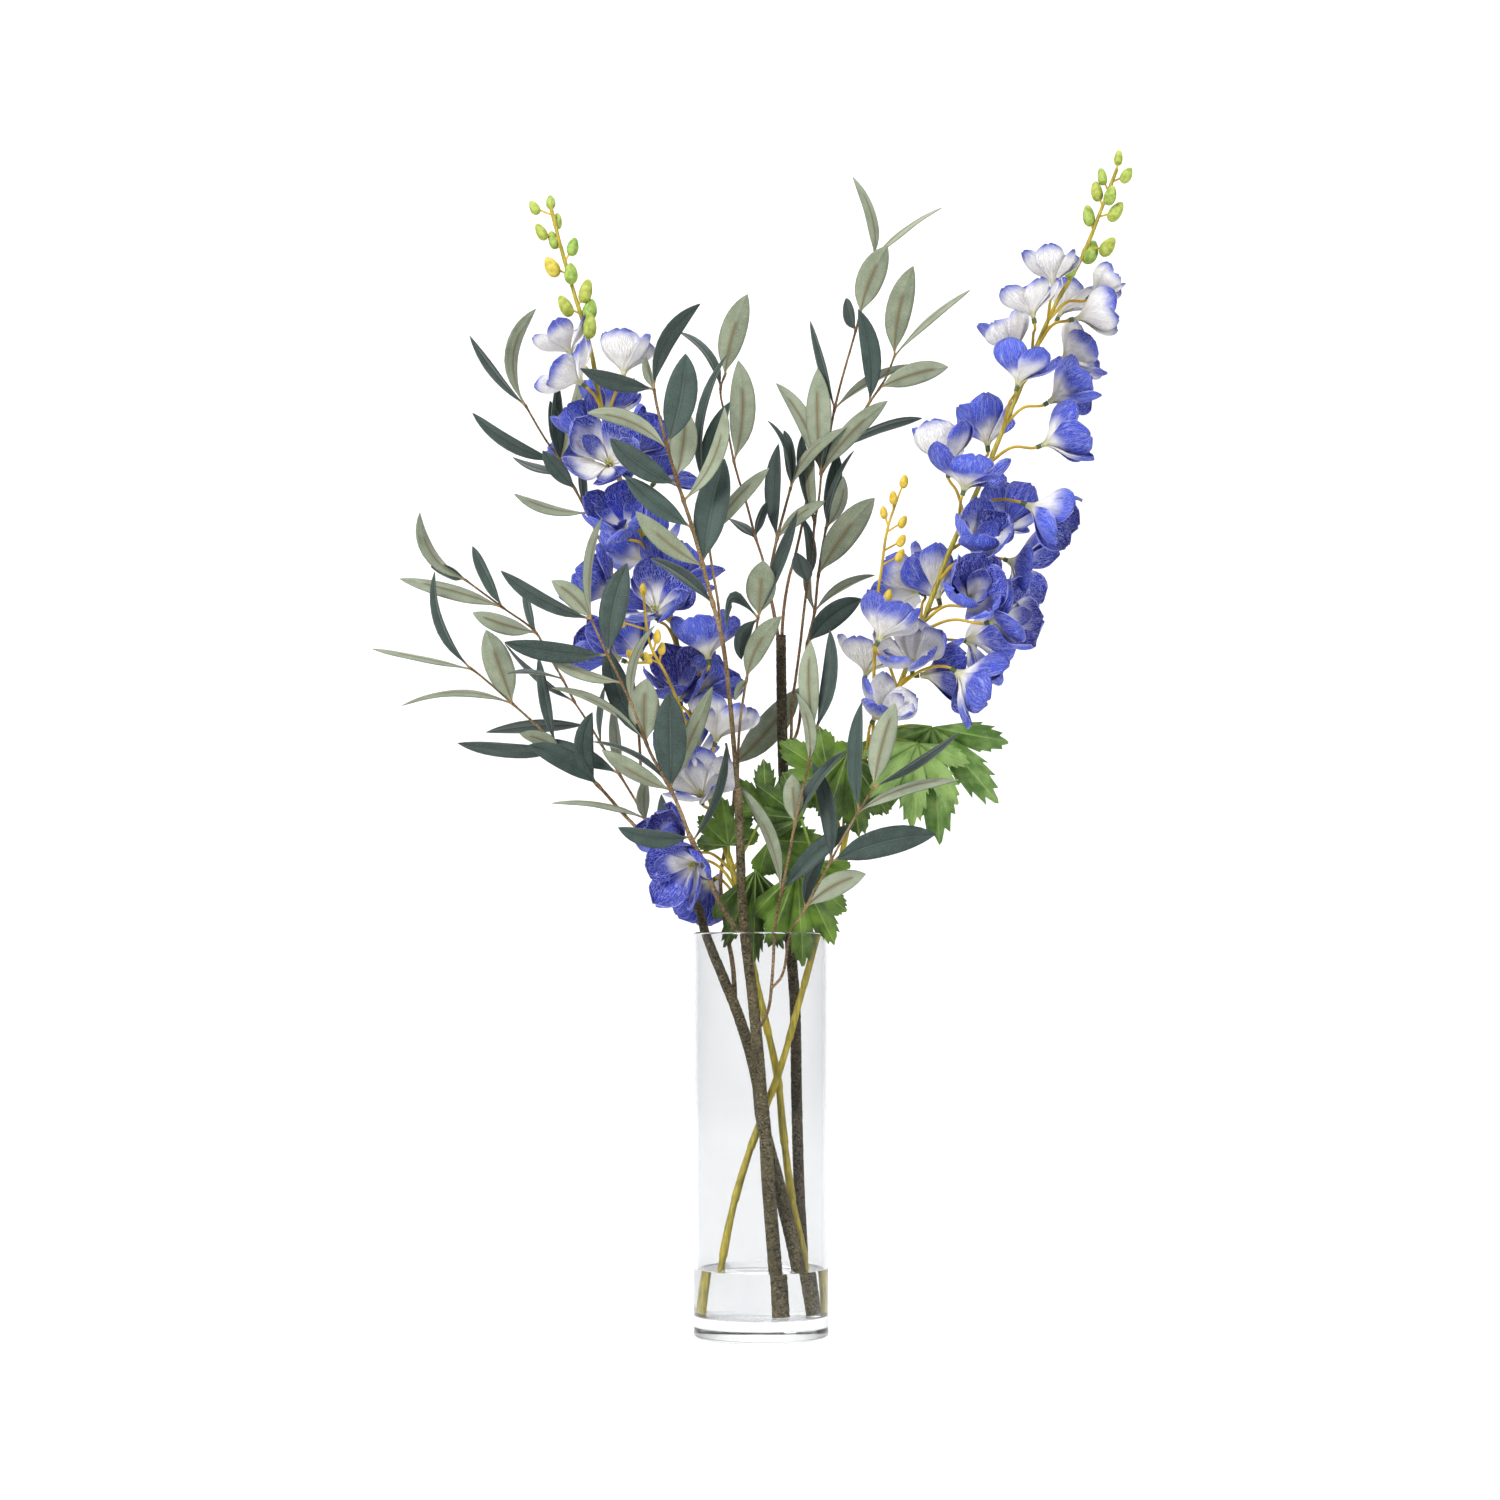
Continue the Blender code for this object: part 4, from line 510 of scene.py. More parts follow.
def nearest_on(route, across, up):
    """The point of a route (in picture terms) that shows nearest to a place."""
    best = None
    for (x1, z1, y1), (x2, z2, y2) in zip(route, route[1:]):
        length = (x2 - x1) ** 2 + (z2 - z1) ** 2
        share = ((across - x1) * (x2 - x1) + (up - z1) * (z2 - z1)) / length
        share = min(1.0, max(0.0, share))
        place = (x1 + (x2 - x1) * share, z1 + (z2 - z1) * share, y1 + (y2 - y1) * share)
        gap = math.hypot(place[0] - across, place[1] - up)
        if best is None or gap < best[0]:
            best = (gap, place)
    return best[1]


def stand_vase(standing):
    """Puts bars up the wall of the vase and round its rim in the way of the rest."""
    wall = VASE_RADIUS - VASE_WALL / 2
    low = VASE_FLOOR + WATER_GAP
    high = VASE_HEIGHT - VASE_WALL / 2
    radii = [VASE_WALL / 2] * 2
    turns = [Matrix.Rotation(math.tau * i / VASE_BARS, 3, "Z") for i in range(VASE_BARS)]
    ring = [turn @ Vector((wall, 0, 0)) for turn in turns]
    for place, beside in zip(ring, ring[1:] + ring[:1]):
        top = place + Vector((0, 0, high))
        standing.add("vase", tube_shell([place + Vector((0, 0, low)), top], radii, SPARE_ROOM))
        standing.add("vase", tube_shell([top, beside + Vector((0, 0, high))], radii, SPARE_ROOM))


def stem_route(route, radius):
    """A route in millimetres; one that starts in the vase gets its foot just off the floor."""
    places = [spot(*knot) for knot in route]
    if places[0].z < WATER_TOP:
        lean = (places[1] - places[0]).normalized()
        sink = radius * math.sqrt(max(0.0, 1 - lean.z**2))
        places[0].z = VASE_FLOOR + FOOT_GAP + sink
    return places


def plan_twigs(owner, twigs, standing):
    """The routes and radii of a branch, which now stand in the way of the rest."""
    planned = []
    for start, end, sides, route, leaves in twigs:
        places = stem_route(route, start)
        radii = tapered(start, end, len(places))
        standing.add(owner, tube_shell(places, radii, SPARE_ROOM))
        planned.append((places, radii, sides, route, leaves))
    return planned


def plan_leaves(owner, planned, standing, dice):
    """A clear placing for each leaf of a branch."""
    placings = []
    for _, _, _, route, leaves in planned:
        for base_x, base_z, tip_x, tip_z, shown, side, bulge, lean in leaves:
            root = nearest_on(route, base_x, base_z)
            base = spot(*root)
            width = max(shown, LEAF_FULL_WIDTH)
            roll = math.acos(min(1.0, shown / width)) * dice.choice((-1, 1))
            best = None
            for size in (1.0, 0.86, 0.7):
                for step in (0, 1, -1, 2, -2, 3, -3, 4, -4, 5, -5, 6, -6):
                    for turn in (0, 18, -18, 36, -36):
                        tip = spot(tip_x, tip_z, root[2] + lean + step * LEAF_STEP)
                        placing = (base, base + (tip - base) * (0.5 + size / 2), width * size, side,
                                   roll + math.radians(turn), bulge)
                        shell = surface_shell(leaf_surface(*placing), LEAF_THICK, SPARE_ROOM)
                        others = standing.touching(shell, lambda other: other.split("/")[0] != owner)
                        own = standing.touching(shell, lambda other: other == owner + "/leaf")
                        cost = others * CROSSING + own * 9 + abs(step) + abs(turn) / 18 + (1 - size) * 30
                        if best is None or cost < best[0]:
                            best = (cost, placing, shell)
                        if cost < 1:
                            break
                    if best[0] < abs(step):
                        break
                if best[0] < 12:
                    break
            if best[0] < CROSSING:
                standing.add(owner + "/leaf", best[2])
                placings.append(best[1])
    return placings


def plan_florets(owner, stalk, florets, standing, dice):
    """A clear place for each floret, and the pedicel that carries it."""
    planned = []
    for number, (x, z, base_x, base_z, where, size) in enumerate(florets):
        root = nearest_on(stalk, base_x, base_z - PEDICEL_DROP)
        near = nearest_on(stalk, x, z)
        spin = dice.uniform(0, 2 * math.pi)
        openness = dice.uniform(0.9, 1.08)
        flat = math.hypot(x - base_x, z - base_z)
        wanted = near[2] + where * FLORET_STAND_OFF
        best = None
        for shrink in (1.0, 0.9, 0.8):
            for step in range(0, 13):
                for sign in (1, -1):
                    depth = wanted + sign * step * FLORET_STEP
                    long = FLORET_MIDDLE * size * shrink
                    for back in ((1, 0.4, -0.4) if where == BESIDE else (1, 0.5)):
                        away = math.sqrt(max(0.0, long**2 - min(flat, long) ** 2)) * back
                        toward = -1 if depth <= near[2] else 1
                        keep = min(1.0, long / max(flat, 1))
                        base = spot(x + (base_x - x) * keep, z + (base_z - z) * keep, depth - toward * away)
                        middle = spot(x, z, depth)
                        axis = (middle - base).normalized()
                        placing = (base, axis, spin, size * shrink, openness)
                        shell = surface_shell(floret_surface(*placing), PETAL_THICK, SPARE_ROOM)
                        stem = spot(*root)
                        seat = base - axis * (PETAL_THICK / 2 + SEAT_GAP)
                        lift = Vector((0, 0, min(PEDICEL_ARCH, (seat - stem).length * 0.18)))
                        neck = seat - axis * COLLAR_LENGTH
                        route = [stem, (stem + neck) / 2 + lift, neck, seat]
                        radii = [PEDICEL_RADIUS * 1.2, PEDICEL_RADIUS, PEDICEL_RADIUS, COLLAR_RADIUS]
                        stalk_shell = tube_shell(route, radii, SPARE_ROOM)
                        cost = step + (1 - shrink) * 40 + (1 - abs(back)) * 3
                        if best is not None and cost >= best[0]:
                            continue
                        hits = standing.touching(shell, lambda other: True)
                        hits += standing.touching(
                            stalk_shell, lambda other: other.split("/")[0] != owner or "floret" in other)
                        cost += hits * CROSSING
                        if best is None or cost < best[0]:
                            best = (cost, placing, shell, route, radii, stalk_shell)
            if best[0] < CROSSING:
                break
        standing.add(f"{owner}/floret", best[2])
        standing.add(f"{owner}/pedicel", best[5])
        planned.append((number + 1, best[1], best[3], best[4]))
    return planned


def plan_buds(stalk_knots, spots, size, shares, standing, owner, dice):
    """Buds on short stalks, round the top of a stalk or along a sprig, fuller as they go down."""
    planned = []
    for number, (x, z) in enumerate(spots):
        root = nearest_on(stalk_knots, x, z - BUD_DROP)
        near = nearest_on(stalk_knots, x, z)
        flat = math.hypot(x - near[0], z - near[1])
        depth = near[2] + (-1 if number % 2 else 1) * max(0.0, BUD_DROP - flat) * dice.uniform(0.7, 1.0)
        middle = spot(x, z, depth)
        start = spot(*root)
        ahead = ((middle - start).normalized() + Vector((0, 0, BUD_RISE))).normalized()
        fullness = shares[0] + (shares[1] - shares[0]) * number / (len(spots) - 1)
        half = size * fullness * dice.uniform(0.92, 1.08)
        planned.append(([start, middle], middle, ahead, half))
        standing.add(owner + "/bud", tube_shell([middle - ahead * half, middle + ahead * half],
                                                [half * 0.75] * 2, SPARE_ROOM))
    return planned


def plan_lobed(owner, leaves, standing):
    """Each lobed leaf with its stalk, moved in depth until it is clear."""
    planned = []
    for start, knots, joint, tip, spread, notch in leaves:
        best = None
        for step in range(0, 9):
            for sign in (1, -1):
                for tilt in (0, 6, -6, 12):
                    move = sign * step * LOBED_STEP
                    middle = spot(joint[0], joint[1], joint[2] + move)
                    placing = (middle, spot(tip[0], tip[1], tip[2] + move + tilt), spread, notch)
                    route = [spot(*start)] + [spot(k[0], k[1], k[2] + move / 2) for k in knots] + [middle]
                    shell = surface_shell(lobed_surface(*placing), LOBED_THICK, SPARE_ROOM)
                    stalk_shell = tube_shell(route, [LEAF_STALK_RADII[0]] * len(route), SPARE_ROOM)
                    hits = standing.touching(shell, lambda other: other.split("/")[0] != owner)
                    hits += standing.touching(stalk_shell, lambda other: other.split("/")[0] != owner)
                    own = standing.touching(shell, lambda other: other == owner + "/lobed")
                    cost = hits * CROSSING + own * 5 + step + abs(tilt) / 6
                    if best is None or cost < best[0]:
                        best = (cost, route, placing, shell, stalk_shell)
        standing.add(owner + "/lobed", best[3])
        standing.add(owner, best[4])
        planned.append((best[1], best[2]))
    return planned


def plan_arrangement():
    """Where everything stands. Each thing is found a place clear of those before it."""
    dice = random.Random(DICE_SEED)
    standing = Standing()
    stand_vase(standing)
    branches = {}
    for owner, twigs in (
        ("olive_left", OLIVE_LEFT),
        ("olive_front", OLIVE_FRONT),
        ("olive_back", OLIVE_BACK),
    ):
        branches[owner] = plan_twigs(owner, twigs, standing)
    stalks = {}
    for owner, route, sprig in (("delphinium_left", STALK_LEFT, SPRIG_LEFT),
                                ("delphinium_right", STALK_RIGHT, SPRIG_RIGHT)):
        places = stem_route(route, STALK_RADII[0])
        radii = tapered(*STALK_RADII, len(places))
        sprig_places = [spot(*knot) for knot in sprig]
        sprig_radii = tapered(*SPRIG_RADII, len(sprig_places))
        standing.add(owner, tube_shell(places, radii, SPARE_ROOM))
        standing.add(owner, tube_shell(sprig_places, sprig_radii, SPARE_ROOM))
        stalks[owner] = ((places, radii), (sprig_places, sprig_radii))
    heads = {}
    for owner, lobed, tips, sprig_buds, route, sprig in (
        ("delphinium_left", LOBED_LEFT, TIP_BUDS_LEFT, SPRIG_BUDS_LEFT, STALK_LEFT, SPRIG_LEFT),
        ("delphinium_right", LOBED_RIGHT, TIP_BUDS_RIGHT, SPRIG_BUDS_RIGHT, STALK_RIGHT, SPRIG_RIGHT),
    ):
        tip_buds = plan_buds(route, tips, TIP_BUD_SIZE, TIP_BUD_SHARES, standing, owner, dice)
        side_buds = plan_buds(sprig, sprig_buds, SPRIG_BUD_SIZE, (1, 1), standing, owner, dice)
        heads[owner] = [plan_lobed(owner, lobed, standing), tip_buds, side_buds]
    for owner, route, florets in (("delphinium_left", STALK_LEFT, FLORETS_LEFT),
                                  ("delphinium_right", STALK_RIGHT, FLORETS_RIGHT)):
        heads[owner].append(plan_florets(owner, route, florets, standing, dice))
    leaves = {owner: plan_leaves(owner, planned, standing, dice) for owner, planned in branches.items()}
    return branches, leaves, stalks, heads


# Fine shapes. Sizes are in millimetres until a mesh is made of them.
LEAF_SHARES = (0.0, 0.05, 0.1, 0.16, 0.24, 0.33, 0.43, 0.53, 0.63, 0.72, 0.8, 0.87, 0.93, 0.97, 1.0)
LEAF_WIDTHS = (0.0, 0.05, 0.19, 0.42, 0.68, 0.87, 0.97, 1.0, 0.97, 0.88, 0.74, 0.56, 0.35, 0.17, 0.0)
LEAF_COLUMNS = (-1.0, -0.7, -0.4, -0.17, -0.06, 0.0, 0.06, 0.17, 0.4, 0.7, 1.0)
LEAF_THIN = 0.55
LEAF_GROOVE = 0.35
PETAL_THIN = 0.4
PETAL_ROUTE = ((2.0, 0.0), (3.0, 4.8), (8.4, 10.0), (15.8, 15.0), (21.6, 22.0), (24.8, 30.0), (25.4, 35.0))
PETAL_WIDTHS = (1.4, 2.4, 7.6, 13.8, 16.0, 12.6, 3.2)
INNER_ROUTE = ((1.4, 0.5), (2.0, 5.0), (5.8, 10.5), (11.4, 15.5), (16.2, 21.0), (18.4, 26.0))
INNER_WIDTHS = (0.8, 1.6, 4.6, 7.6, 6.8, 1.6)
INNER_COUNT = 3
PETAL_OVERLAP = 0.24
PETAL_COLUMNS = (-1.0, -0.78, -0.54, -0.28, 0.0, 0.28, 0.54, 0.78, 1.0)
PETAL_KINDS = 6
RING_ROOM = 0.5
GOLDEN_BUD = ("delphinium_left", 6)
WATER_OVERLAP = 0.1  # the water reaches this far into the glass, so that no film of air shows
LOBED_THIN = 0.5
LOBED_ROWS = (0.0, 0.12, 0.28, 0.44, 0.58, 0.72, 0.86, 1.0)
# Half a lobe from the notch to its tip: share of the turn, then of the reach.
TOOTHED_EDGE = ((1.0, 0.0), (0.88, 0.4), (0.74, 0.36), (0.62, 0.66), (0.48, 0.6), (0.34, 0.86),
                (0.2, 0.8), (0.08, 0.94))
BARK_STEP = 1.3
TWIG_STEP = 2.2
STALK_JOINT = 42.0


class Shape:
    """Points, faces and what the materials read of them, gathered for one mesh."""

    def __init__(self):
        self.points = []
        self.faces = []
        self.places = []
        self.notes = []
        self.sides = []
        self.flat = set()

    def blade(self, rows, thick, along, across, note):
        """A thin closed blade: upper face, under face and the rim between them."""
        start = len(self.points)
        high = len(rows)
        wide = len(rows[0])
        count = high * wide
        for sign in (1, -1):
            for i in range(high):
                for j in range(wide):
                    run = rows[min(i + 1, high - 1)][j] - rows[max(i - 1, 0)][j]
                    turn = rows[i][min(j + 1, wide - 1)] - rows[i][max(j - 1, 0)]
                    normal = run.cross(turn).normalized()
                    self.points.append(rows[i][j] + normal * (sign * thick[i] / 2))
                    self.places.append((across[j] if not callable(across) else across(i, j), along[i]))
                    self.notes.append(note)
                    self.sides.append(1.0 if sign > 0 else 0.0)
        for i in range(high - 1):
            for j in range(wide - 1):
                a = start + i * wide + j
                self.faces.append((a, a + wide, a + wide + 1, a + 1))
                b = a + count
                self.faces.append((b, b + 1, b + wide + 1, b + wide))
        edge = [i * wide for i in range(high)] + [(high - 1) * wide + j for j in range(1, wide)]
        edge += [i * wide + wide - 1 for i in range(high - 2, -1, -1)] + list(range(wide - 2, 0, -1))
        for i, j in zip(edge, edge[1:] + edge[:1]):
            self.flat.add(len(self.faces))
            self.faces.append((start + j, start + i, start + i + count, start + j + count))

    def made(self, name, material=None):
        """The mesh object, in metres, with its UV map and what its material reads."""
        mesh = bpy.data.meshes.new(name)
        mesh.from_pydata([tuple(p * MM for p in point) for point in self.points], [], self.faces)
        layer = mesh.uv_layers.new(name="UVMap")
        for loop, corner in zip(layer.data, mesh.loops):
            loop.uv = self.places[corner.vertex_index]
        side = mesh.attributes.new("side", "FLOAT", "POINT")
        side.data.foreach_set("value", self.sides)
        if self.notes and self.notes[0] is not None:
            finish = mesh.attributes.new("finish", "FLOAT_COLOR", "POINT")
            finish.data.foreach_set("color", [x for note in self.notes for x in note])
        mesh.polygons.foreach_set("use_smooth", [i not in self.flat for i in range(len(self.faces))])
        mesh.update()
        if material:
            mesh.materials.append(material)
        thing = bpy.data.objects.new(name, mesh)
        bpy.context.scene.collection.objects.link(thing)
        return thing


def leaf_rows(base, tip, width, side, roll, bulge, dice):
    """A fine olive leaf on the same run as its solid, with a groove, a fold and a slight twist."""
    run = tip - base
    across = run.cross(Vector((0, 1, 0))).normalized()
    middle = (base + tip) / 2 + across * bulge * 2
    twist = dice.uniform(-0.3, 0.3)
    sag = dice.uniform(-1.0, 1.4) * 0.028 * run.length
    wave = dice.uniform(0, math.tau)
    fold = LEAF_FOLD * dice.uniform(1.2, 2.6)
    rows = []
    for share, broad in zip(LEAF_SHARES, LEAF_WIDTHS):
        place = base * (1 - share) ** 2 + middle * 2 * share * (1 - share) + tip * share**2
        ahead = ((middle - base) * (1 - share) + (tip - middle) * share).normalized()
        flat = ahead.cross(Vector((0, 1, 0))).normalized()
        facing = ahead.cross(flat)
        turn = roll + twist * (share - 0.4)
        out = flat * math.cos(turn) + facing * math.sin(turn)
        up = ahead.cross(out) * side
        half = max(PETIOLE_WIDTH * 0.45 * min(1, 12 * (1.02 - share)), width / 2 * broad)
        row = []
        for column in LEAF_COLUMNS:
            lift = half * fold * abs(column) ** 1.2 - half * 0.1 * column**4
            lift += math.sin(wave + share * 9 + column * 1.5) * 0.035 * half * column**2
            lift -= LEAF_GROOVE * math.exp(-((column / 0.08) ** 2)) * min(1, half / 3)
            lift += sag * 4 * share * (1 - share)
            row.append(place + out * (half * column * side) + up * lift)
        rows.append(row)
    return rows


def add_leaf(shape, placing, dice):
    rows = leaf_rows(*placing, dice)
    thick = [LEAF_THIN + 0.9 * max(0, 1 - share / 0.12) for share in LEAF_SHARES]
    across = [0.5 + column / 2 for column in LEAF_COLUMNS]
    shape.blade(rows, thick, LEAF_SHARES, across, (dice.random(), dice.random(), 0.0, 1.0))


def petal_rows(route, widths, columns, cup, ruffle, notch, phase):
    """A petal with its foot at the origin: Z along the floret's axis, X away from it."""
    rows = []
    for i, ((away, height), half) in enumerate(zip(route, widths)):
        before = Vector(route[max(i - 1, 0)])
        after = Vector(route[min(i + 1, len(route) - 1)])
        ahead = (after - before).normalized()
        share = i / (len(route) - 1)
        row = []
        for column in columns:
            wave = math.sin(phase + column * 6.5 + share * 5) * abs(column)
            wave += 0.4 * math.sin(phase * 3 + share * 9)
            inward = cup * column**2 * half + ruffle * share**2 * wave
            back = notch * share**3 * math.exp(-((column / 0.3) ** 2))
            x = away - ahead.y * inward - ahead.x * back
            z = height + ahead.x * inward - ahead.y * back
            row.append(Vector((x, half * column, z)))
        rows.append(row)
    return rows


def finer(values):
    """A route or a list of widths with a point added halfway along each stretch."""
    vectors = [Vector(value) if isinstance(value, tuple) else Vector((value, 0.0)) for value in values]
    made = [vectors[0]]
    for i in range(len(vectors) - 1):
        before = vectors[max(i - 1, 0)]
        after = vectors[min(i + 2, len(vectors) - 1)]
        halfway = (vectors[i] + vectors[i + 1]) * 0.5625 - (before + after) * 0.0625
        made += [halfway, vectors[i + 1]]
    return [tuple(point) for point in made] if isinstance(values[0], tuple) else [point.x for point in made]


def petal_kinds(dice):
    """A collection of petals: each broad outer kind, then the narrow inner kinds."""
    kinds = bpy.data.collections.new("petal_kinds")
    for number in range(PETAL_KINDS + 3):
        inner = number >= PETAL_KINDS
        route = finer(INNER_ROUTE if inner else PETAL_ROUTE)
        widths = finer(INNER_WIDTHS if inner else PETAL_WIDTHS)
        high = len(route) - 1
        curl = dice.uniform(-0.6, 1.0) * (2.0 if inner else 5.0)
        bends = [(i / high) ** 3 for i in range(len(route))]
        route = [(r + curl * bend, z - abs(curl) * 0.3 * bend) for (r, z), bend in zip(route, bends)]
        rows = petal_rows(route, widths, PETAL_COLUMNS, dice.uniform(0.22, 0.42) * (1.3 if inner else 1),
                          dice.uniform(0.6, 2.2) * (0.3 if inner else 1), dice.uniform(0.0, 2.2),
                          dice.uniform(0, math.tau))
        shape = Shape()
        shape.blade(rows, [PETAL_THIN] * len(rows), [i / high for i in range(len(rows))],
                    [0.5 + column / 2 for column in PETAL_COLUMNS], None)
        thing = shape.made(f"petal_kind_{number}")
        bpy.context.scene.collection.objects.unlink(thing)
        kinds.objects.link(thing)
    return kinds


def bud_kinds():
    """A collection of one grooved bud: longer than broad, with a short point."""
    kinds = bpy.data.collections.new("bud_kinds")
    made = bmesh.new()
    bmesh.ops.create_uvsphere(made, u_segments=20, v_segments=9, radius=1.0)
    for point in made.verts:
        turn = math.atan2(point.co.y, point.co.x)
        seam = abs(math.sin(turn)) ** 8 * 0.24 + abs(math.sin(turn * 2)) ** 6 * 0.1
        groove = 1 - seam * (1 - abs(point.co.z) ** 3)
        belly = 0.66 * (1 - 0.16 * point.co.z)
        point.co.x *= groove * belly
        point.co.y *= groove * belly
        point.co.z += 0.06 * max(0.0, point.co.z) ** 6
    for face in made.faces:
        face.smooth = True
    bmesh.ops.scale(made, vec=(MM, MM, MM), verts=made.verts)
    mesh = bpy.data.meshes.new("bud_kind")
    made.to_mesh(mesh)
    made.free()
    kinds.objects.link(bpy.data.objects.new("bud_kind", mesh))
    return kinds


def heart_kinds():
    """A collection of one floret's heart: a few short threads, each with a knob."""
    kinds = bpy.data.collections.new("heart_kinds")
    made = bmesh.new()
    for number in range(7):
        turn = number * 2.4
        lean = Vector((math.cos(turn), math.sin(turn), 0)) * (0.5 + 0.28 * number)
        foot = Vector((0, 0, 4)) + lean * 0.5
        top = foot + lean * 1.1 + Vector((0, 0, 6.0 - number * 0.4))
        for place, radius, long in ((foot, 0.22, (top - foot).length), (top, 0.55, 1.2)):
            grown = bmesh.ops.create_cone(made, segments=6, radius1=radius, radius2=radius * 0.8, depth=long,
                                          cap_ends=True)["verts"]
            turned = Vector((0, 0, 1)).rotation_difference(top - foot).to_matrix().to_4x4()
            centre = place + (top - foot).normalized() * long / 2 if place is foot else place
            bmesh.ops.transform(made, matrix=Matrix.Translation(centre) @ turned, verts=grown)
    bmesh.ops.scale(made, vec=(MM, MM, MM), verts=made.verts)
    mesh = bpy.data.meshes.new("heart_kind")
    made.to_mesh(mesh)
    made.free()
    kinds.objects.link(bpy.data.objects.new("heart_kind", mesh))
    return kinds


def add_lobed(shape, placing, dice):
    """A toothed leaf of five lobes on the same joint, reach and notches as its solid."""
    joint, tip, spread, notch = placing
    run = tip - joint
    reach = run.length
    ahead = run.normalized()
    out = ahead.cross(Vector((0, 1, 0))).normalized()
    up = ahead.cross(out)
    edge = []
    places = []
    for lobe, (angle, share) in enumerate(LOBED_LOBES):
        last = lobe == len(LOBED_LOBES) - 1
        for side in (-1, 1):
            low = notch * (0.8 if (lobe == 0 and side < 0) or (last and side > 0) else 1.0)
            half = TOOTHED_EDGE if side < 0 else TOOTHED_EDGE[::-1]
            if side < 0 and lobe:
                half = half[1:]
            for turn, far in half:
                wobble = 1 + dice.uniform(-0.03, 0.03) * (0.0 < far)
                distance = reach * (low + (share - low) * far) * wobble
                edge.append((angle + side * turn * LOBE_TURN, distance, turn))
                places.append(lobe + 0.5 + side * turn * 0.46)
            if side < 0:
                edge.append((angle, reach * share, 0.0))
                places.append(lobe + 0.5)
    droop = dice.uniform(0.02, 0.1)
    wave = dice.uniform(0, math.tau)
    rows = []
    for far in LOBED_ROWS:
        row = []
        for number, (angle, distance, turn) in enumerate(edge):
            shape_here = math.sin(math.pi / 2 * far / 0.55)
            if far >= 0.55:
                shape_here = math.cos(math.pi * (far - 0.55) / 0.45)
            lift = reach * LOBE_CUP * (1 - turn) * shape_here - reach * 0.07 * turn * far * (1.2 - far)
            lift += reach * 0.02 * math.sin(wave + angle * 0.11 + far * 4) * far - reach * droop * far**2
            place = joint + up * lift
            bend = math.radians(angle * spread)
            row.append(place + (ahead * math.cos(bend) + out * math.sin(bend)) * (distance * far + 0.4))
        rows.append(row)
    fresh = min(1.0, max(0.0, (tip.x - 84) / 20))
    shape.blade(rows, [LOBED_THIN] * len(rows), LOBED_ROWS, places, (dice.random(), fresh, 0.0, 1.0))


class Lines:
    """Lines with a radius and a finish at each point, for the stem skin to go round."""

    def __init__(self):
        self.points = []
        self.edges = []
        self.radii = []
        self.notes = []

    def add(self, places, radii, step, note, swell=None):
        """A smooth line through the places. note(share, distance) gives the finish there."""
        bends = []
        for i, place in enumerate(places):
            before = place - places[i - 1] if i else places[1] - place
            after = places[i + 1] - place if i + 1 < len(places) else before
            bends.append((before.normalized() + after.normalized()).normalized())
        whole = sum((b - a).length for a, b in zip(places, places[1:]))
        done = 0.0
        first = True
        for i in range(len(places) - 1):
            a, b = places[i], places[i + 1]
            long = (b - a).length
            count = max(1, round(long / step))
            for k in range(0 if first else 1, count + 1):
                t = k / count
                p = a * (1 + 2 * t) * (1 - t) ** 2 + b * t * t * (3 - 2 * t)
                p = p + bends[i] * long * t * (1 - t) ** 2 - bends[i + 1] * long * t * t * (1 - t)
                distance = done + long * t
                radius = radii[i] + (radii[i + 1] - radii[i]) * t
                if swell:
                    radius *= swell(p, distance)
                if not first:
                    self.edges.append((len(self.points) - 1, len(self.points)))
                self.points.append(p)
                self.radii.append(radius * MM)
                self.notes.append(note(distance / whole, distance))
                first = False
            done += long

    def made(self, name):
        mesh = bpy.data.meshes.new(name)
        mesh.from_pydata([tuple(p * MM for p in point) for point in self.points], self.edges, [])
        mesh.attributes.new("radius", "FLOAT", "POINT").data.foreach_set("value", self.radii)
        finish = mesh.attributes.new("finish", "FLOAT_COLOR", "POINT")
        finish.data.foreach_set("color", [x for note in self.notes for x in note])
        thing = bpy.data.objects.new(name, mesh)
        bpy.context.scene.collection.objects.link(thing)
        return thing


class Spots:
    """Points that each carry a copy of a kind: which one, how it is turned, its size and finish."""

    def __init__(self):
        self.points = []
        self.kinds = []
        self.turns = []
        self.sizes = []
        self.notes = []

    def add(self, place, kind, matrix, size, note):
        self.points.append(place)
        self.kinds.append(kind)
        self.turns.append(tuple(matrix.to_euler()))
        self.sizes.append(size)
        self.notes.append(note)

    def made(self, name):
        mesh = bpy.data.meshes.new(name)
        mesh.from_pydata([tuple(p * MM for p in point) for point in self.points], [], [])
        mesh.attributes.new("kind", "INT", "POINT").data.foreach_set("value", self.kinds)
        for label, values in (("turn", self.turns), ("size", self.sizes)):
            vectors = mesh.attributes.new(label, "FLOAT_VECTOR", "POINT")
            vectors.data.foreach_set("vector", [x for value in values for x in value])
        finish = mesh.attributes.new("finish", "FLOAT_COLOR", "POINT")
        finish.data.foreach_set("color", [x for note in self.notes for x in note])
        thing = bpy.data.objects.new(name, mesh)
        bpy.context.scene.collection.objects.link(thing)
        return thing


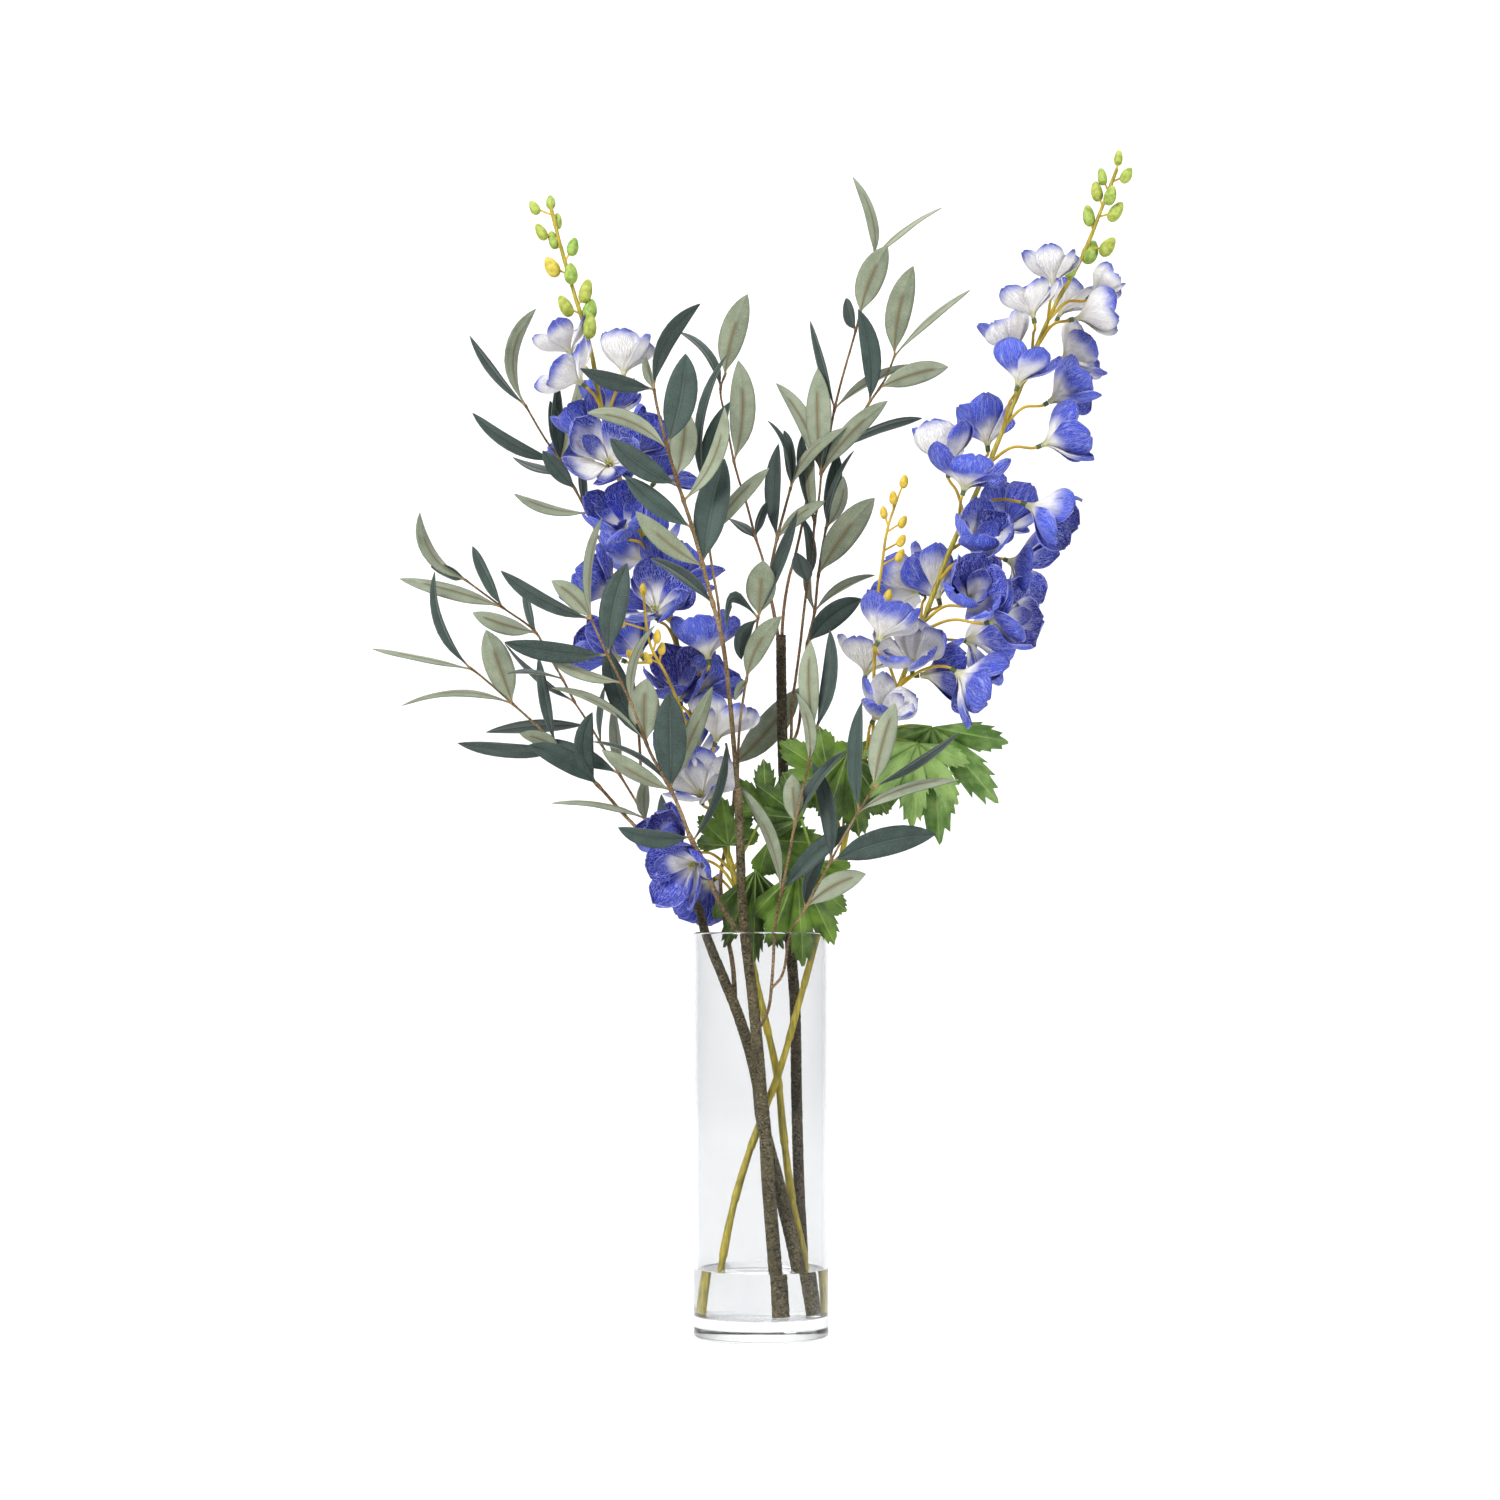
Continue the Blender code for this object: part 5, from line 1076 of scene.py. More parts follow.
class Wired:
    """A socket in a node tree. Arithmetic on it adds Math nodes; node() adds any other node."""

    def __init__(self, tree, socket=None):
        self.tree = tree
        self.socket = socket

    def node(self, kind, values=None, output=0, stops=None, **settings):
        """A node with its settings first, then the values or links of its sockets."""
        made = self.tree.nodes.new(kind)
        for name, value in settings.items():
            setattr(made, name, value)
        if stops:
            ramp = made.color_ramp.elements
            while len(ramp) < len(stops):
                ramp.new(0.5)
            for mark, (place, colour) in zip(ramp, stops):
                mark.position = place
                mark.color = (*colour, 1.0)
        for name, value in (values or {}).items():
            if isinstance(value, Wired):
                self.tree.links.new(value.socket, made.inputs[name])
            else:
                made.inputs[name].default_value = value
        return Wired(self.tree, made.outputs[output] if made.outputs else None)

    def other(self, name):
        """Another output of the same node."""
        return Wired(self.tree, self.socket.node.outputs[name])

    def maths(self, operation, *values, clamp=False):
        return self.node("ShaderNodeMath", dict(enumerate(values)), operation=operation, use_clamp=clamp)

    def __add__(self, value):
        return self.maths("ADD", self, value)

    def __sub__(self, value):
        return self.maths("SUBTRACT", self, value)

    def __rsub__(self, value):
        return self.maths("SUBTRACT", value, self)

    def __mul__(self, value):
        return self.maths("MULTIPLY", self, value)

    def __truediv__(self, value):
        return self.maths("DIVIDE", self, value)

    def __rtruediv__(self, value):
        return self.maths("DIVIDE", value, self)

    def __pow__(self, value):
        return self.maths("POWER", self, value)

    def __neg__(self):
        return self.maths("MULTIPLY", self, -1.0)

    __radd__ = __add__
    __rmul__ = __mul__

    def size(self):
        return self.maths("ABSOLUTE", self)

    def least(self, value):
        return self.maths("MINIMUM", self, value)

    def most(self, value):
        return self.maths("MAXIMUM", self, value)

    def rising(self, low, high):
        """0 below low, 1 above high and a smooth rise between them."""
        return self.node("ShaderNodeMapRange", {"Value": self, "From Min": low, "From Max": high},
                         interpolation_type="SMOOTHSTEP")

    def colours(self, first, second):
        """From the first colour to the second, as this value goes from 0 to 1."""
        return self.node("ShaderNodeMix", {0: self, 6: first, 7: second}, output=2, data_type="RGBA")

    def part(self, name):
        """One number of a colour or a vector."""
        return self.node("ShaderNodeSeparateXYZ", {0: self}).other(name)

    def vector(self, x, y, z=0.0):
        return self.node("ShaderNodeCombineXYZ", {0: x, 1: y, 2: z})

    def noise(self, place, scale, detail=2.0, rough=0.5):
        return self.node("ShaderNodeTexNoise", {"Vector": place, "Scale": scale, "Detail": detail,
                                                "Roughness": rough})

    def stretched(self, place, scales):
        return self.node("ShaderNodeVectorMath", {0: place, 1: scales}, operation="MULTIPLY")


def colour(red, green, blue):
    """A colour as the picture shows it, from 0 to 255, turned to light."""
    parts = [x / 255 for x in (red, green, blue)]
    return tuple(x / 12.92 if x <= 0.04045 else ((x + 0.055) / 1.055) ** 2.4 for x in parts) + (1.0,)


class Finish:
    """A new material and the sockets that its pattern starts from."""

    def __init__(self, name, **plain):
        self.material = bpy.data.materials.new(name)
        self.material.use_nodes = True
        self.tree = self.material.node_tree
        self.shader = self.tree.nodes["Principled BSDF"]
        for label, value in plain.items():
            self.shader.inputs[label.replace("_", " ")].default_value = value
        self.start = Wired(self.tree)
        self.object = self.start.node("ShaderNodeTexCoord", output=3)

    def attribute(self, name):
        return self.start.node("ShaderNodeAttribute", attribute_name=name)

    def feeds(self, label, value):
        if isinstance(value, Wired):
            self.tree.links.new(value.socket, self.shader.inputs[label])
        else:
            self.shader.inputs[label].default_value = value

    def bumps(self, height, distance, strength=1.0):
        """A Bump node on the shader's normal; distance is in metres."""
        values = {"Height": height, "Distance": distance, "Strength": strength}
        bump = self.start.node("ShaderNodeBump", values)
        self.feeds("Normal", bump)


def olive_leaf_finish():
    """Dark green above; pale and felted below, with a tan midrib that stops short of the tip."""
    made = Finish("olive_leaf", Sheen_Weight=0.12, Sheen_Roughness=0.5, Specular_IOR_Level=0.35)
    place = made.start.node("ShaderNodeUVMap", uv_map="UVMap")
    across = (place.part("X") * 2 - 1).size()
    along = place.part("Y")
    upper = made.attribute("side").other("Fac").rising(0.45, 0.55)
    dice = made.attribute("finish").part("X")
    cloudy = made.start.noise(made.object, 90.0, 3.0)
    grain = made.start.noise(made.object, 1500.0, 2.0)
    blotch = (cloudy * 0.7 + dice * 0.3).rising(0.25, 0.75)
    dark = blotch.colours(colour(30, 45, 41), colour(52, 70, 64))
    dark = (grain.rising(0.45, 0.7) * 0.3).colours(dark, colour(88, 106, 96))
    dark = ((1 - across.rising(0.0, 0.05)) * 0.4).colours(dark, colour(78, 100, 84))
    dark = (across.rising(0.05, 0.1) * (1 - across.rising(0.1, 0.22)) * 0.4).colours(dark, colour(22, 34, 31))
    pale = blotch.colours(colour(104, 114, 90), colour(138, 147, 124))
    pale = (grain.rising(0.42, 0.68) * 0.4).colours(pale, colour(166, 168, 150))
    rib_end = 0.62 + dice * 0.2
    rib = (1 - across.rising(0.025, 0.07)) * (1 - (along - rib_end).rising(-0.03, 0.03))
    shade = (1 - across.rising(0.08, 0.3)) * (1 - (along - rib_end).rising(-0.03, 0.05))
    pale = (shade * 0.5).colours(pale, colour(88, 90, 68))
    pale = (rib * 0.8).colours(pale, colour(116, 88, 48))
    pale = (across.rising(0.9, 1.0) * 0.5).colours(pale, colour(78, 84, 64))
    both = upper.colours(pale, dark)
    foot = 1 - along.rising(0.03, 0.09)
    made.feeds("Base Color", foot.colours(both, colour(146, 122, 82)))
    made.feeds("Roughness", 0.5 + cloudy * 0.15 + (1 - upper) * 0.2)
    veins = made.start.noise(made.start.vector(place.part("X") * 14, along * 5 + across * 9), 2.0, 3.0)
    made.bumps(veins * 0.6 + grain * 0.9, 0.0003, 0.6)
    return made.material


def bark_finish():
    """Pebbled grey-brown bark with black specks, going over to orange-brown twigs."""
    made = Finish("olive_bark", Specular_IOR_Level=0.3)
    note = made.attribute("finish")
    young = note.part("X")
    dark = note.part("Y")
    red = note.part("Z")
    cells = made.start.node("ShaderNodeTexVoronoi", {"Vector": made.object, "Scale": 360.0},
                            feature="DISTANCE_TO_EDGE")
    specks = made.start.noise(made.object, 310.0, 4.0, 0.8)
    clouds = made.start.noise(made.start.stretched(made.object, (1.0, 1.0, 0.35)), 70.0, 4.0)
    old = clouds.rising(0.3, 0.7).colours(colour(84, 76, 50), colour(118, 107, 76))
    old = dark.colours(old, clouds.rising(0.3, 0.7).colours(colour(50, 44, 32), colour(86, 77, 55)))
    old = (specks.rising(0.535, 0.6) * 0.92).colours(old, colour(22, 19, 14))
    old = (specks.rising(0.43, 0.34) * (0.6 - dark * 0.3)).colours(old, colour(160, 149, 115))
    old = (cells.rising(0.05, 0.0) * 0.5).colours(old, colour(34, 31, 24))
    twig = clouds.rising(0.3, 0.75).colours(colour(112, 88, 58), colour(168, 144, 106))
    twig = (specks.rising(0.54, 0.62) * 0.6).colours(twig, colour(72, 52, 36))
    twig = red.colours(twig, clouds.rising(0.35, 0.7).colours(colour(120, 70, 58), colour(176, 128, 108)))
    made.feeds("Base Color", young.rising(0.25, 0.75).colours(old, twig))
    made.feeds("Roughness", 0.72 - specks * 0.2)
    made.bumps(cells * 3.0 - specks, 0.0018, 1.0)
    return made.material


def stalk_finish():
    """Olive-yellow stalk, golden floret stalks and a dark green collar under each floret."""
    made = Finish("delphinium_stalk", Specular_IOR_Level=0.45, Coat_Roughness=0.35)
    note = made.attribute("finish")
    golden = note.part("X")
    collar = note.part("Y")
    light = note.part("Z")
    streaks = made.start.noise(made.start.stretched(made.object, (1.0, 1.0, 0.05)), 900.0, 3.0)
    clouds = made.start.noise(made.object, 60.0, 3.0)
    base = clouds.rising(0.3, 0.7).colours(colour(120, 111, 18), colour(162, 147, 38))
    base = (streaks.rising(0.45, 0.8) * 0.6).colours(base, colour(204, 188, 78))
    base = (streaks.rising(0.5, 0.25) * 0.5).colours(base, colour(88, 76, 16))
    gold = clouds.rising(0.3, 0.7).colours(colour(158, 124, 20), colour(206, 170, 46))
    base = golden.colours(base, gold)
    base = collar.colours(base, colour(66, 82, 34))
    base = light.colours(base, colour(110, 150, 54))
    made.feeds("Base Color", base)
    made.feeds("Roughness", 0.42 + streaks * 0.25)
    made.bumps(streaks, 0.0004, 0.6)
    return made.material


def bud_finish():
    """Golden or fresh green buds, with darker cloudy patches."""
    made = Finish("bud", Specular_IOR_Level=0.4, Subsurface_Weight=0.0)
    note = made.attribute("finish")
    clouds = made.start.noise(made.object, 260.0, 3.0)
    gold = clouds.rising(0.3, 0.7).colours(colour(186, 156, 36), colour(216, 188, 78))
    green = clouds.rising(0.3, 0.7).colours(colour(104, 138, 48), colour(158, 182, 90))
    base = note.part("X").colours(gold, green)
    made.feeds("Base Color", (clouds.rising(0.6, 0.75) * 0.4).colours(base, colour(120, 110, 40)))
    made.feeds("Roughness", 0.45 + clouds * 0.2)
    made.bumps(clouds, 0.0003, 0.5)
    return made.material


def lobed_finish():
    """Grass green with a light midrib up each lobe and side veins that fork from it."""
    made = Finish("lobed_leaf", Specular_IOR_Level=0.45, Sheen_Weight=0.05)
    place = made.start.node("ShaderNodeUVMap", uv_map="UVMap")
    lobe = place.part("X")
    within = (lobe.maths("FRACT", lobe) * 2 - 1).size()
    far = place.part("Y")
    dice = made.attribute("finish").part("X")
    upper = made.attribute("side").other("Fac").rising(0.45, 0.55)
    clouds = made.start.noise(made.object, 80.0, 4.0)
    fine = made.start.noise(made.object, 900.0, 2.0)
    blotch = (clouds * 0.75 + dice * 0.25).rising(0.3, 0.7)
    fresh = made.attribute("finish").part("Y")
    base = blotch.colours(colour(42, 68, 8), colour(98, 134, 30))
    base = (fresh * 0.85).colours(base, blotch.colours(colour(64, 108, 22), colour(140, 172, 96)))
    base = (fine.rising(0.45, 0.75) * 0.25).colours(base, colour(112, 138, 56))
    under = blotch.colours(colour(84, 112, 44), colour(122, 148, 76))
    base = upper.colours(under, base)
    rib = 1 - (within * far).rising(0.008, 0.035)
    steps = (far * 7 - within * far * 9)
    forks = (steps.maths("FRACT", steps) - 0.5).size().rising(0.43, 0.5) * (1 - within.rising(0.6, 0.95))
    base = (rib * 0.5).colours(base, colour(140, 164, 84))
    base = (forks * 0.3).colours(base, colour(122, 148, 70))
    made.feeds("Base Color", (within.rising(0.86, 1.0) * 0.4).colours(base, colour(52, 78, 26)))
    made.feeds("Roughness", 0.42 + fine * 0.2)
    made.bumps(-(rib * 0.8) - forks * 0.6 + fine * 0.35, 0.0005, 0.8)
    return made.material


def petal_finish():
    """Blue petals with a pale net of veins, white towards the throat and at the thin rim."""
    made = Finish("delphinium_petal", Sheen_Weight=0.06, Sheen_Roughness=0.4, Specular_IOR_Level=0.2)
    place = made.start.node("ShaderNodeUVMap", uv_map="UVMap")
    x = place.part("X") * 2 - 1
    across = x.size()
    along = place.part("Y")
    inside = made.attribute("side").other("Fac").rising(0.4, 0.6)
    note = made.attribute("finish")
    paleness = note.part("X")
    violet = note.part("Y")
    dice = note.part("Z")
    wander = made.start.noise(made.object, 220.0, 3.0)
    drift = (wander - 0.5) * 0.9
    fan = made.start.vector(x * 4.2 + drift, along * 5.0 + drift + dice * 40, dice * 9)
    net = made.start.node("ShaderNodeTexVoronoi", {"Vector": fan, "Scale": 2.7}, feature="DISTANCE_TO_EDGE")
    lines = made.start.node("ShaderNodeTexVoronoi",
                            {"Vector": made.start.stretched(fan, (2.2, 0.3, 1.0)), "Scale": 1.4},
                            feature="DISTANCE_TO_EDGE")
    vein = (1 - net.rising(0.01, 0.085)) * along.rising(0.3, 0.55)
    streak = 1 - lines.rising(0.02, 0.12)
    clouds = made.start.noise(made.object, 60.0, 3.0)
    reach = 0.24 + paleness * 0.6 + (clouds - 0.5) * 0.36 + (dice - 0.5) * 0.2 - across * 0.1
    blueness = (along - reach).rising(-0.12, 0.2)
    deep = (clouds * 0.8 + violet * 0.2).rising(0.25, 0.75).colours(colour(5, 14, 134), colour(26, 52, 204))
    deep = violet.rising(0.6, 1.0).colours(deep, colour(50, 42, 160))
    back = (clouds * 0.6 + dice * 0.4).rising(0.25, 0.75).colours(colour(20, 38, 168), colour(64, 86, 214))
    body = inside.colours(back, deep)
    body = (paleness * 0.25).colours(body, colour(104, 116, 216))
    cream = colour(250, 247, 240)
    base = blueness.colours(cream, body)
    base = (vein * (0.35 + inside * 0.3)).colours(base, colour(182, 194, 246))
    faint = (0.3 - inside * 0.1) * (0.25 + blueness * 0.75) * along.rising(0.1, 0.4)
    base = (streak * faint).colours(base, colour(196, 200, 240))
    rim = (across.rising(0.9, 1.0) + along.rising(0.965, 1.0)).least(1.0) * clouds.rising(0.4, 0.6)
    base = (rim * 0.4).colours(base, colour(214, 212, 234))
    throat = 1 - along.rising(0.1, 0.3)
    base = throat.colours(base, colour(222, 220, 176))
    made.feeds("Base Color", base)
    made.feeds("Roughness", 0.55 + wander * 0.2)
    made.bumps(vein * 0.5 + streak * 0.8 + wander * 0.6, 0.0007, 0.8)
    return made.material


def heart_finish():
    made = Finish("floret_heart", Specular_IOR_Level=0.3)
    clouds = made.start.noise(made.object, 500.0, 2.0)
    made.feeds("Base Color", clouds.rising(0.35, 0.65).colours(colour(150, 158, 40), colour(232, 224, 130)))
    made.feeds("Roughness", 0.5 + clouds * 0.2)
    return made.material


def glass_finish():
    """Clear glass, with the faintest wipe marks in its gloss."""
    made = Finish("clear_glass", Transmission_Weight=1.0, IOR=1.46, Specular_Tint=(0.22, 0.22, 0.22, 1))
    wiped = made.start.noise(made.start.stretched(made.object, (1.0, 1.0, 0.3)), 30.0, 2.0)
    made.feeds("Base Color", wiped.rising(0.3, 0.7).colours((0.79, 0.795, 0.8, 1), (0.805, 0.81, 0.815, 1)))
    made.feeds("Roughness", wiped.rising(0.5, 0.9) * 0.012)
    return made.material


def water_finish():
    made = Finish("still_water", Transmission_Weight=1.0, IOR=1.33, Specular_Tint=(0.4, 0.4, 0.4, 1))
    clouds = made.start.noise(made.object, 25.0, 2.0)
    tint = clouds.rising(0.3, 0.7).colours((0.965, 0.975, 0.975, 1), (0.985, 0.99, 0.99, 1))
    made.feeds("Base Color", tint)
    made.feeds("Roughness", clouds.rising(0.5, 0.9) * 0.008)
    return made.material


def new_node_tree(name, entries):
    """A Geometry Nodes tree with named inputs, and the wired ends of its Group Input."""
    tree = bpy.data.node_groups.new(name, "GeometryNodeTree")
    tree.interface.new_socket("Geometry", in_out="INPUT", socket_type="NodeSocketGeometry")
    for label, kind, value in entries:
        entry = tree.interface.new_socket(label, in_out="INPUT", socket_type=kind)
        if value is not None:
            entry.default_value = value
    tree.interface.new_socket("Geometry", in_out="OUTPUT", socket_type="NodeSocketGeometry")
    start = Wired(tree).node("NodeGroupInput")
    return start


def ended(last):
    """Closes a tree: the copies realised, the material set, and the result shown."""
    start = last.start_inputs
    real = last.node("GeometryNodeRealizeInstances", {"Geometry": last})
    dressed = last.node("GeometryNodeSetMaterial", {"Geometry": real, "Material": start.other("Material")})
    last.node("NodeGroupOutput", {0: dressed})
    return last.tree


def stem_skin():
    """Gives each line a round skin of its radius, raised and sunk by noise along its normal."""
    start = new_node_tree("stem_skin", (
        ("Sides", "NodeSocketInt", 10), ("Bump Height", "NodeSocketFloat", 0.0),
        ("Bump Scale", "NodeSocketFloat", 600.0),
        ("Bump Seed", "NodeSocketFloat", 3.0), ("Material", "NodeSocketMaterial", None)))
    curve = start.node("GeometryNodeMeshToCurve", {"Mesh": start})
    ring = start.node("GeometryNodeCurvePrimitiveCircle", {"Resolution": start.other("Sides"), "Radius": 1.0})
    radius = start.node("GeometryNodeInputNamedAttribute", {"Name": "radius"}, data_type="FLOAT")
    skin = start.node("GeometryNodeCurveToMesh", {"Curve": curve, "Profile Curve": ring, "Scale": radius,
                                                  "Fill Caps": True})
    place = start.node("GeometryNodeInputPosition")
    rough = start.node("ShaderNodeTexNoise", {"Vector": place, "W": start.other("Bump Seed"),
                                              "Scale": start.other("Bump Scale"), "Detail": 2.0},
                       noise_dimensions="4D")
    out = start.node("ShaderNodeVectorMath", {0: start.node("GeometryNodeInputNormal"),
                                              3: (rough - 0.5) * 2 * start.other("Bump Height")},
                     operation="SCALE")
    bumpy = start.node("GeometryNodeSetPosition", {"Geometry": skin, "Offset": out})
    smooth = start.node("GeometryNodeSetShadeSmooth", {"Geometry": bumpy})
    smooth.start_inputs = start
    return ended(smooth)


def copies_on_points():
    """Puts a copy of a kind on each point, turned and sized as the point says."""
    start = new_node_tree("copies_on_points", (
        ("Kinds", "NodeSocketCollection", None), ("Material", "NodeSocketMaterial", None)))
    kinds = start.node("GeometryNodeCollectionInfo", {"Collection": start.other("Kinds"),
                                                      "Separate Children": True, "Reset Children": True})
    which = start.node("GeometryNodeInputNamedAttribute", {"Name": "kind"}, data_type="INT")
    turn = start.node("GeometryNodeInputNamedAttribute", {"Name": "turn"}, data_type="FLOAT_VECTOR")
    size = start.node("GeometryNodeInputNamedAttribute", {"Name": "size"}, data_type="FLOAT_VECTOR")
    placed = start.node("GeometryNodeInstanceOnPoints", {
        "Points": start, "Instance": kinds, "Pick Instance": True, "Instance Index": which,
        "Rotation": turn, "Scale": size})
    placed.start_inputs = start
    return ended(placed)


def grown(thing, tree, **entries):
    """Runs a tree on an object and keeps the result as a plain mesh."""
    modifier = thing.modifiers.new(tree.name, "NODES")
    modifier.node_group = tree
    sockets = {item.name.replace(" ", "_"): item.identifier for item in tree.interface.items_tree
               if item.in_out == "INPUT"}
    for label, value in entries.items():
        modifier[sockets[label]] = value
    graph = bpy.context.evaluated_depsgraph_get()
    mesh = bpy.data.meshes.new_from_object(thing.evaluated_get(graph), depsgraph=graph)
    name = thing.name
    bpy.data.objects.remove(thing)
    mesh.name = name
    made = bpy.data.objects.new(name, mesh)
    bpy.context.scene.collection.objects.link(made)
    return made


def turned_vessel(name, profile, steps, material):
    """A body of revolution about Z from a profile of (radius, height) in millimetres."""
    mesh = bpy.data.meshes.new(name)
    points = [(radius * MM, 0.0, height * MM) for radius, height in profile]
    mesh.from_pydata(points, [(i, i + 1) for i in range(len(points) - 1)], [])
    thing = bpy.data.objects.new(name, mesh)
    bpy.context.scene.collection.objects.link(thing)
    screw = thing.modifiers.new("spin", "SCREW")
    screw.steps = steps
    screw.render_steps = steps
    screw.use_merge_vertices = True
    screw.merge_threshold = 0.00001
    graph = bpy.context.evaluated_depsgraph_get()
    spun = bpy.data.meshes.new_from_object(thing.evaluated_get(graph), depsgraph=graph)
    bpy.data.objects.remove(thing)
    shape = bmesh.new()
    shape.from_mesh(spun)
    bmesh.ops.remove_doubles(shape, verts=shape.verts, dist=1e-6)
    bmesh.ops.recalc_face_normals(shape, faces=shape.faces)
    for face in shape.faces:
        face.smooth = True
    for edge in shape.edges:
        edge.smooth = len(edge.link_faces) < 2 or edge.calc_face_angle(0.0) < math.radians(32)
    shape.to_mesh(spun)
    shape.free()
    spun.materials.append(material)
    made = bpy.data.objects.new(name, spun)
    bpy.context.scene.collection.objects.link(made)
    return made


def rounded(centre, radius, start, end, count):
    """Points on an arc, with angles in degrees from the radius axis towards height."""
    turns = [math.radians(start + (end - start) * i / count) for i in range(count + 1)]
    return [(centre[0] + radius * math.cos(t), centre[1] + radius * math.sin(t)) for t in turns]


def vase_profile():
    """The glass from the floor's middle up, over the rim and down. A ring by each curve keeps walls flat."""
    inside = VASE_RADIUS - VASE_WALL
    under_rim = VASE_HEIGHT - VASE_WALL / 2 - RING_ROOM
    profile = [(0, VASE_FLOOR), (inside - 3 - RING_ROOM, VASE_FLOOR)]
    profile += rounded((inside - 3, VASE_FLOOR + 3), 3, -90, 0, 6)
    profile += [(inside, VASE_FLOOR + 3 + RING_ROOM), (inside, under_rim)]
    profile += rounded((inside + VASE_WALL / 2, VASE_HEIGHT - VASE_WALL / 2), VASE_WALL / 2, 180, 0, 8)
    profile += [(VASE_RADIUS, under_rim), (VASE_RADIUS, 2.5 + RING_ROOM)]
    profile += rounded((VASE_RADIUS - 2.5, 2.5), 2.5, 0, -90, 6)
    return profile + [(VASE_RADIUS - 2.5 - RING_ROOM, 0), (0, 0)]


def water_profile():
    wide = VASE_RADIUS - VASE_WALL + WATER_OVERLAP
    low = VASE_FLOOR - WATER_OVERLAP
    profile = [(0, WATER_TOP - 0.5), (wide - 6 - RING_ROOM, WATER_TOP - 0.5), (wide - 6, WATER_TOP - 0.5),
               (wide - 2.5, WATER_TOP - 0.2), (wide, WATER_TOP), (wide, WATER_TOP - RING_ROOM),
               (wide, low + 3 + RING_ROOM)]
    return profile + rounded((wide - 3, low + 3), 3, 0, -90, 6) + [(wide - 3 - RING_ROOM, low), (0, low)]


def dress(piece, slot, *nodes):
    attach(piece, "root")
    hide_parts(*nodes)


def branch_lines(owner, planned, leaves):
    """The thick bark stem of a branch, and its twigs with a knot under each pair of leaves."""
    feet = [placing[0] for placing in leaves]
    dark = {"olive_left": 0.35, "olive_front": 0.0, "olive_back": 0.75}[owner]
    reds = {"olive_left": 0.2, "olive_front": 0.1, "olive_back": 0.5}[owner]
    thick = Lines()
    thin = Lines()

    def knot(place, distance):
        near = min(((foot - place).length for foot in feet), default=99)
        return 0.9 + 0.4 * math.exp(-((near / 2.2) ** 2))

    for number, (places, radii, _, _, _) in enumerate(planned):
        if not number:
            thick.add(places, radii, BARK_STEP, lambda share, _: (2.25 * max(0, share - 0.8), dark, 0, 1))
            continue
        start = 0.3 if radii[0] > 2.0 else 0.7
        thin.add(places, radii, TWIG_STEP,
                 lambda share, _: (min(1, start + share * 1.2), dark, reds * max(0, 1 - share), 1), knot)
    return thick, thin


def pale_here(across, up):
    """How pale the florets are near this place of the picture, from 0 to 1."""
    found = 0.0
    for x, z, near, strength in PALE_SPOTS:
        found = max(found, strength * max(0.0, 1 - math.hypot(across - x, up - z) / near))
    return found


PALE_SPOTS = (
    (88, 500, 60, 1.3), (240, 780, 70, 1.5), (200, 775, 40, 1.1), (137, 662, 34, 0.7), (186, 745, 26, 0.9),
    (-32, 460, 32, 0.9), (-46, 412, 34, 1.0), (-140, 735, 50, 1.3), (-100, 729, 40, 1.2),
    (-146, 716, 24, 0.8),
    (238, 733, 24, 0.9), (110, 556, 22, 0.9),
)


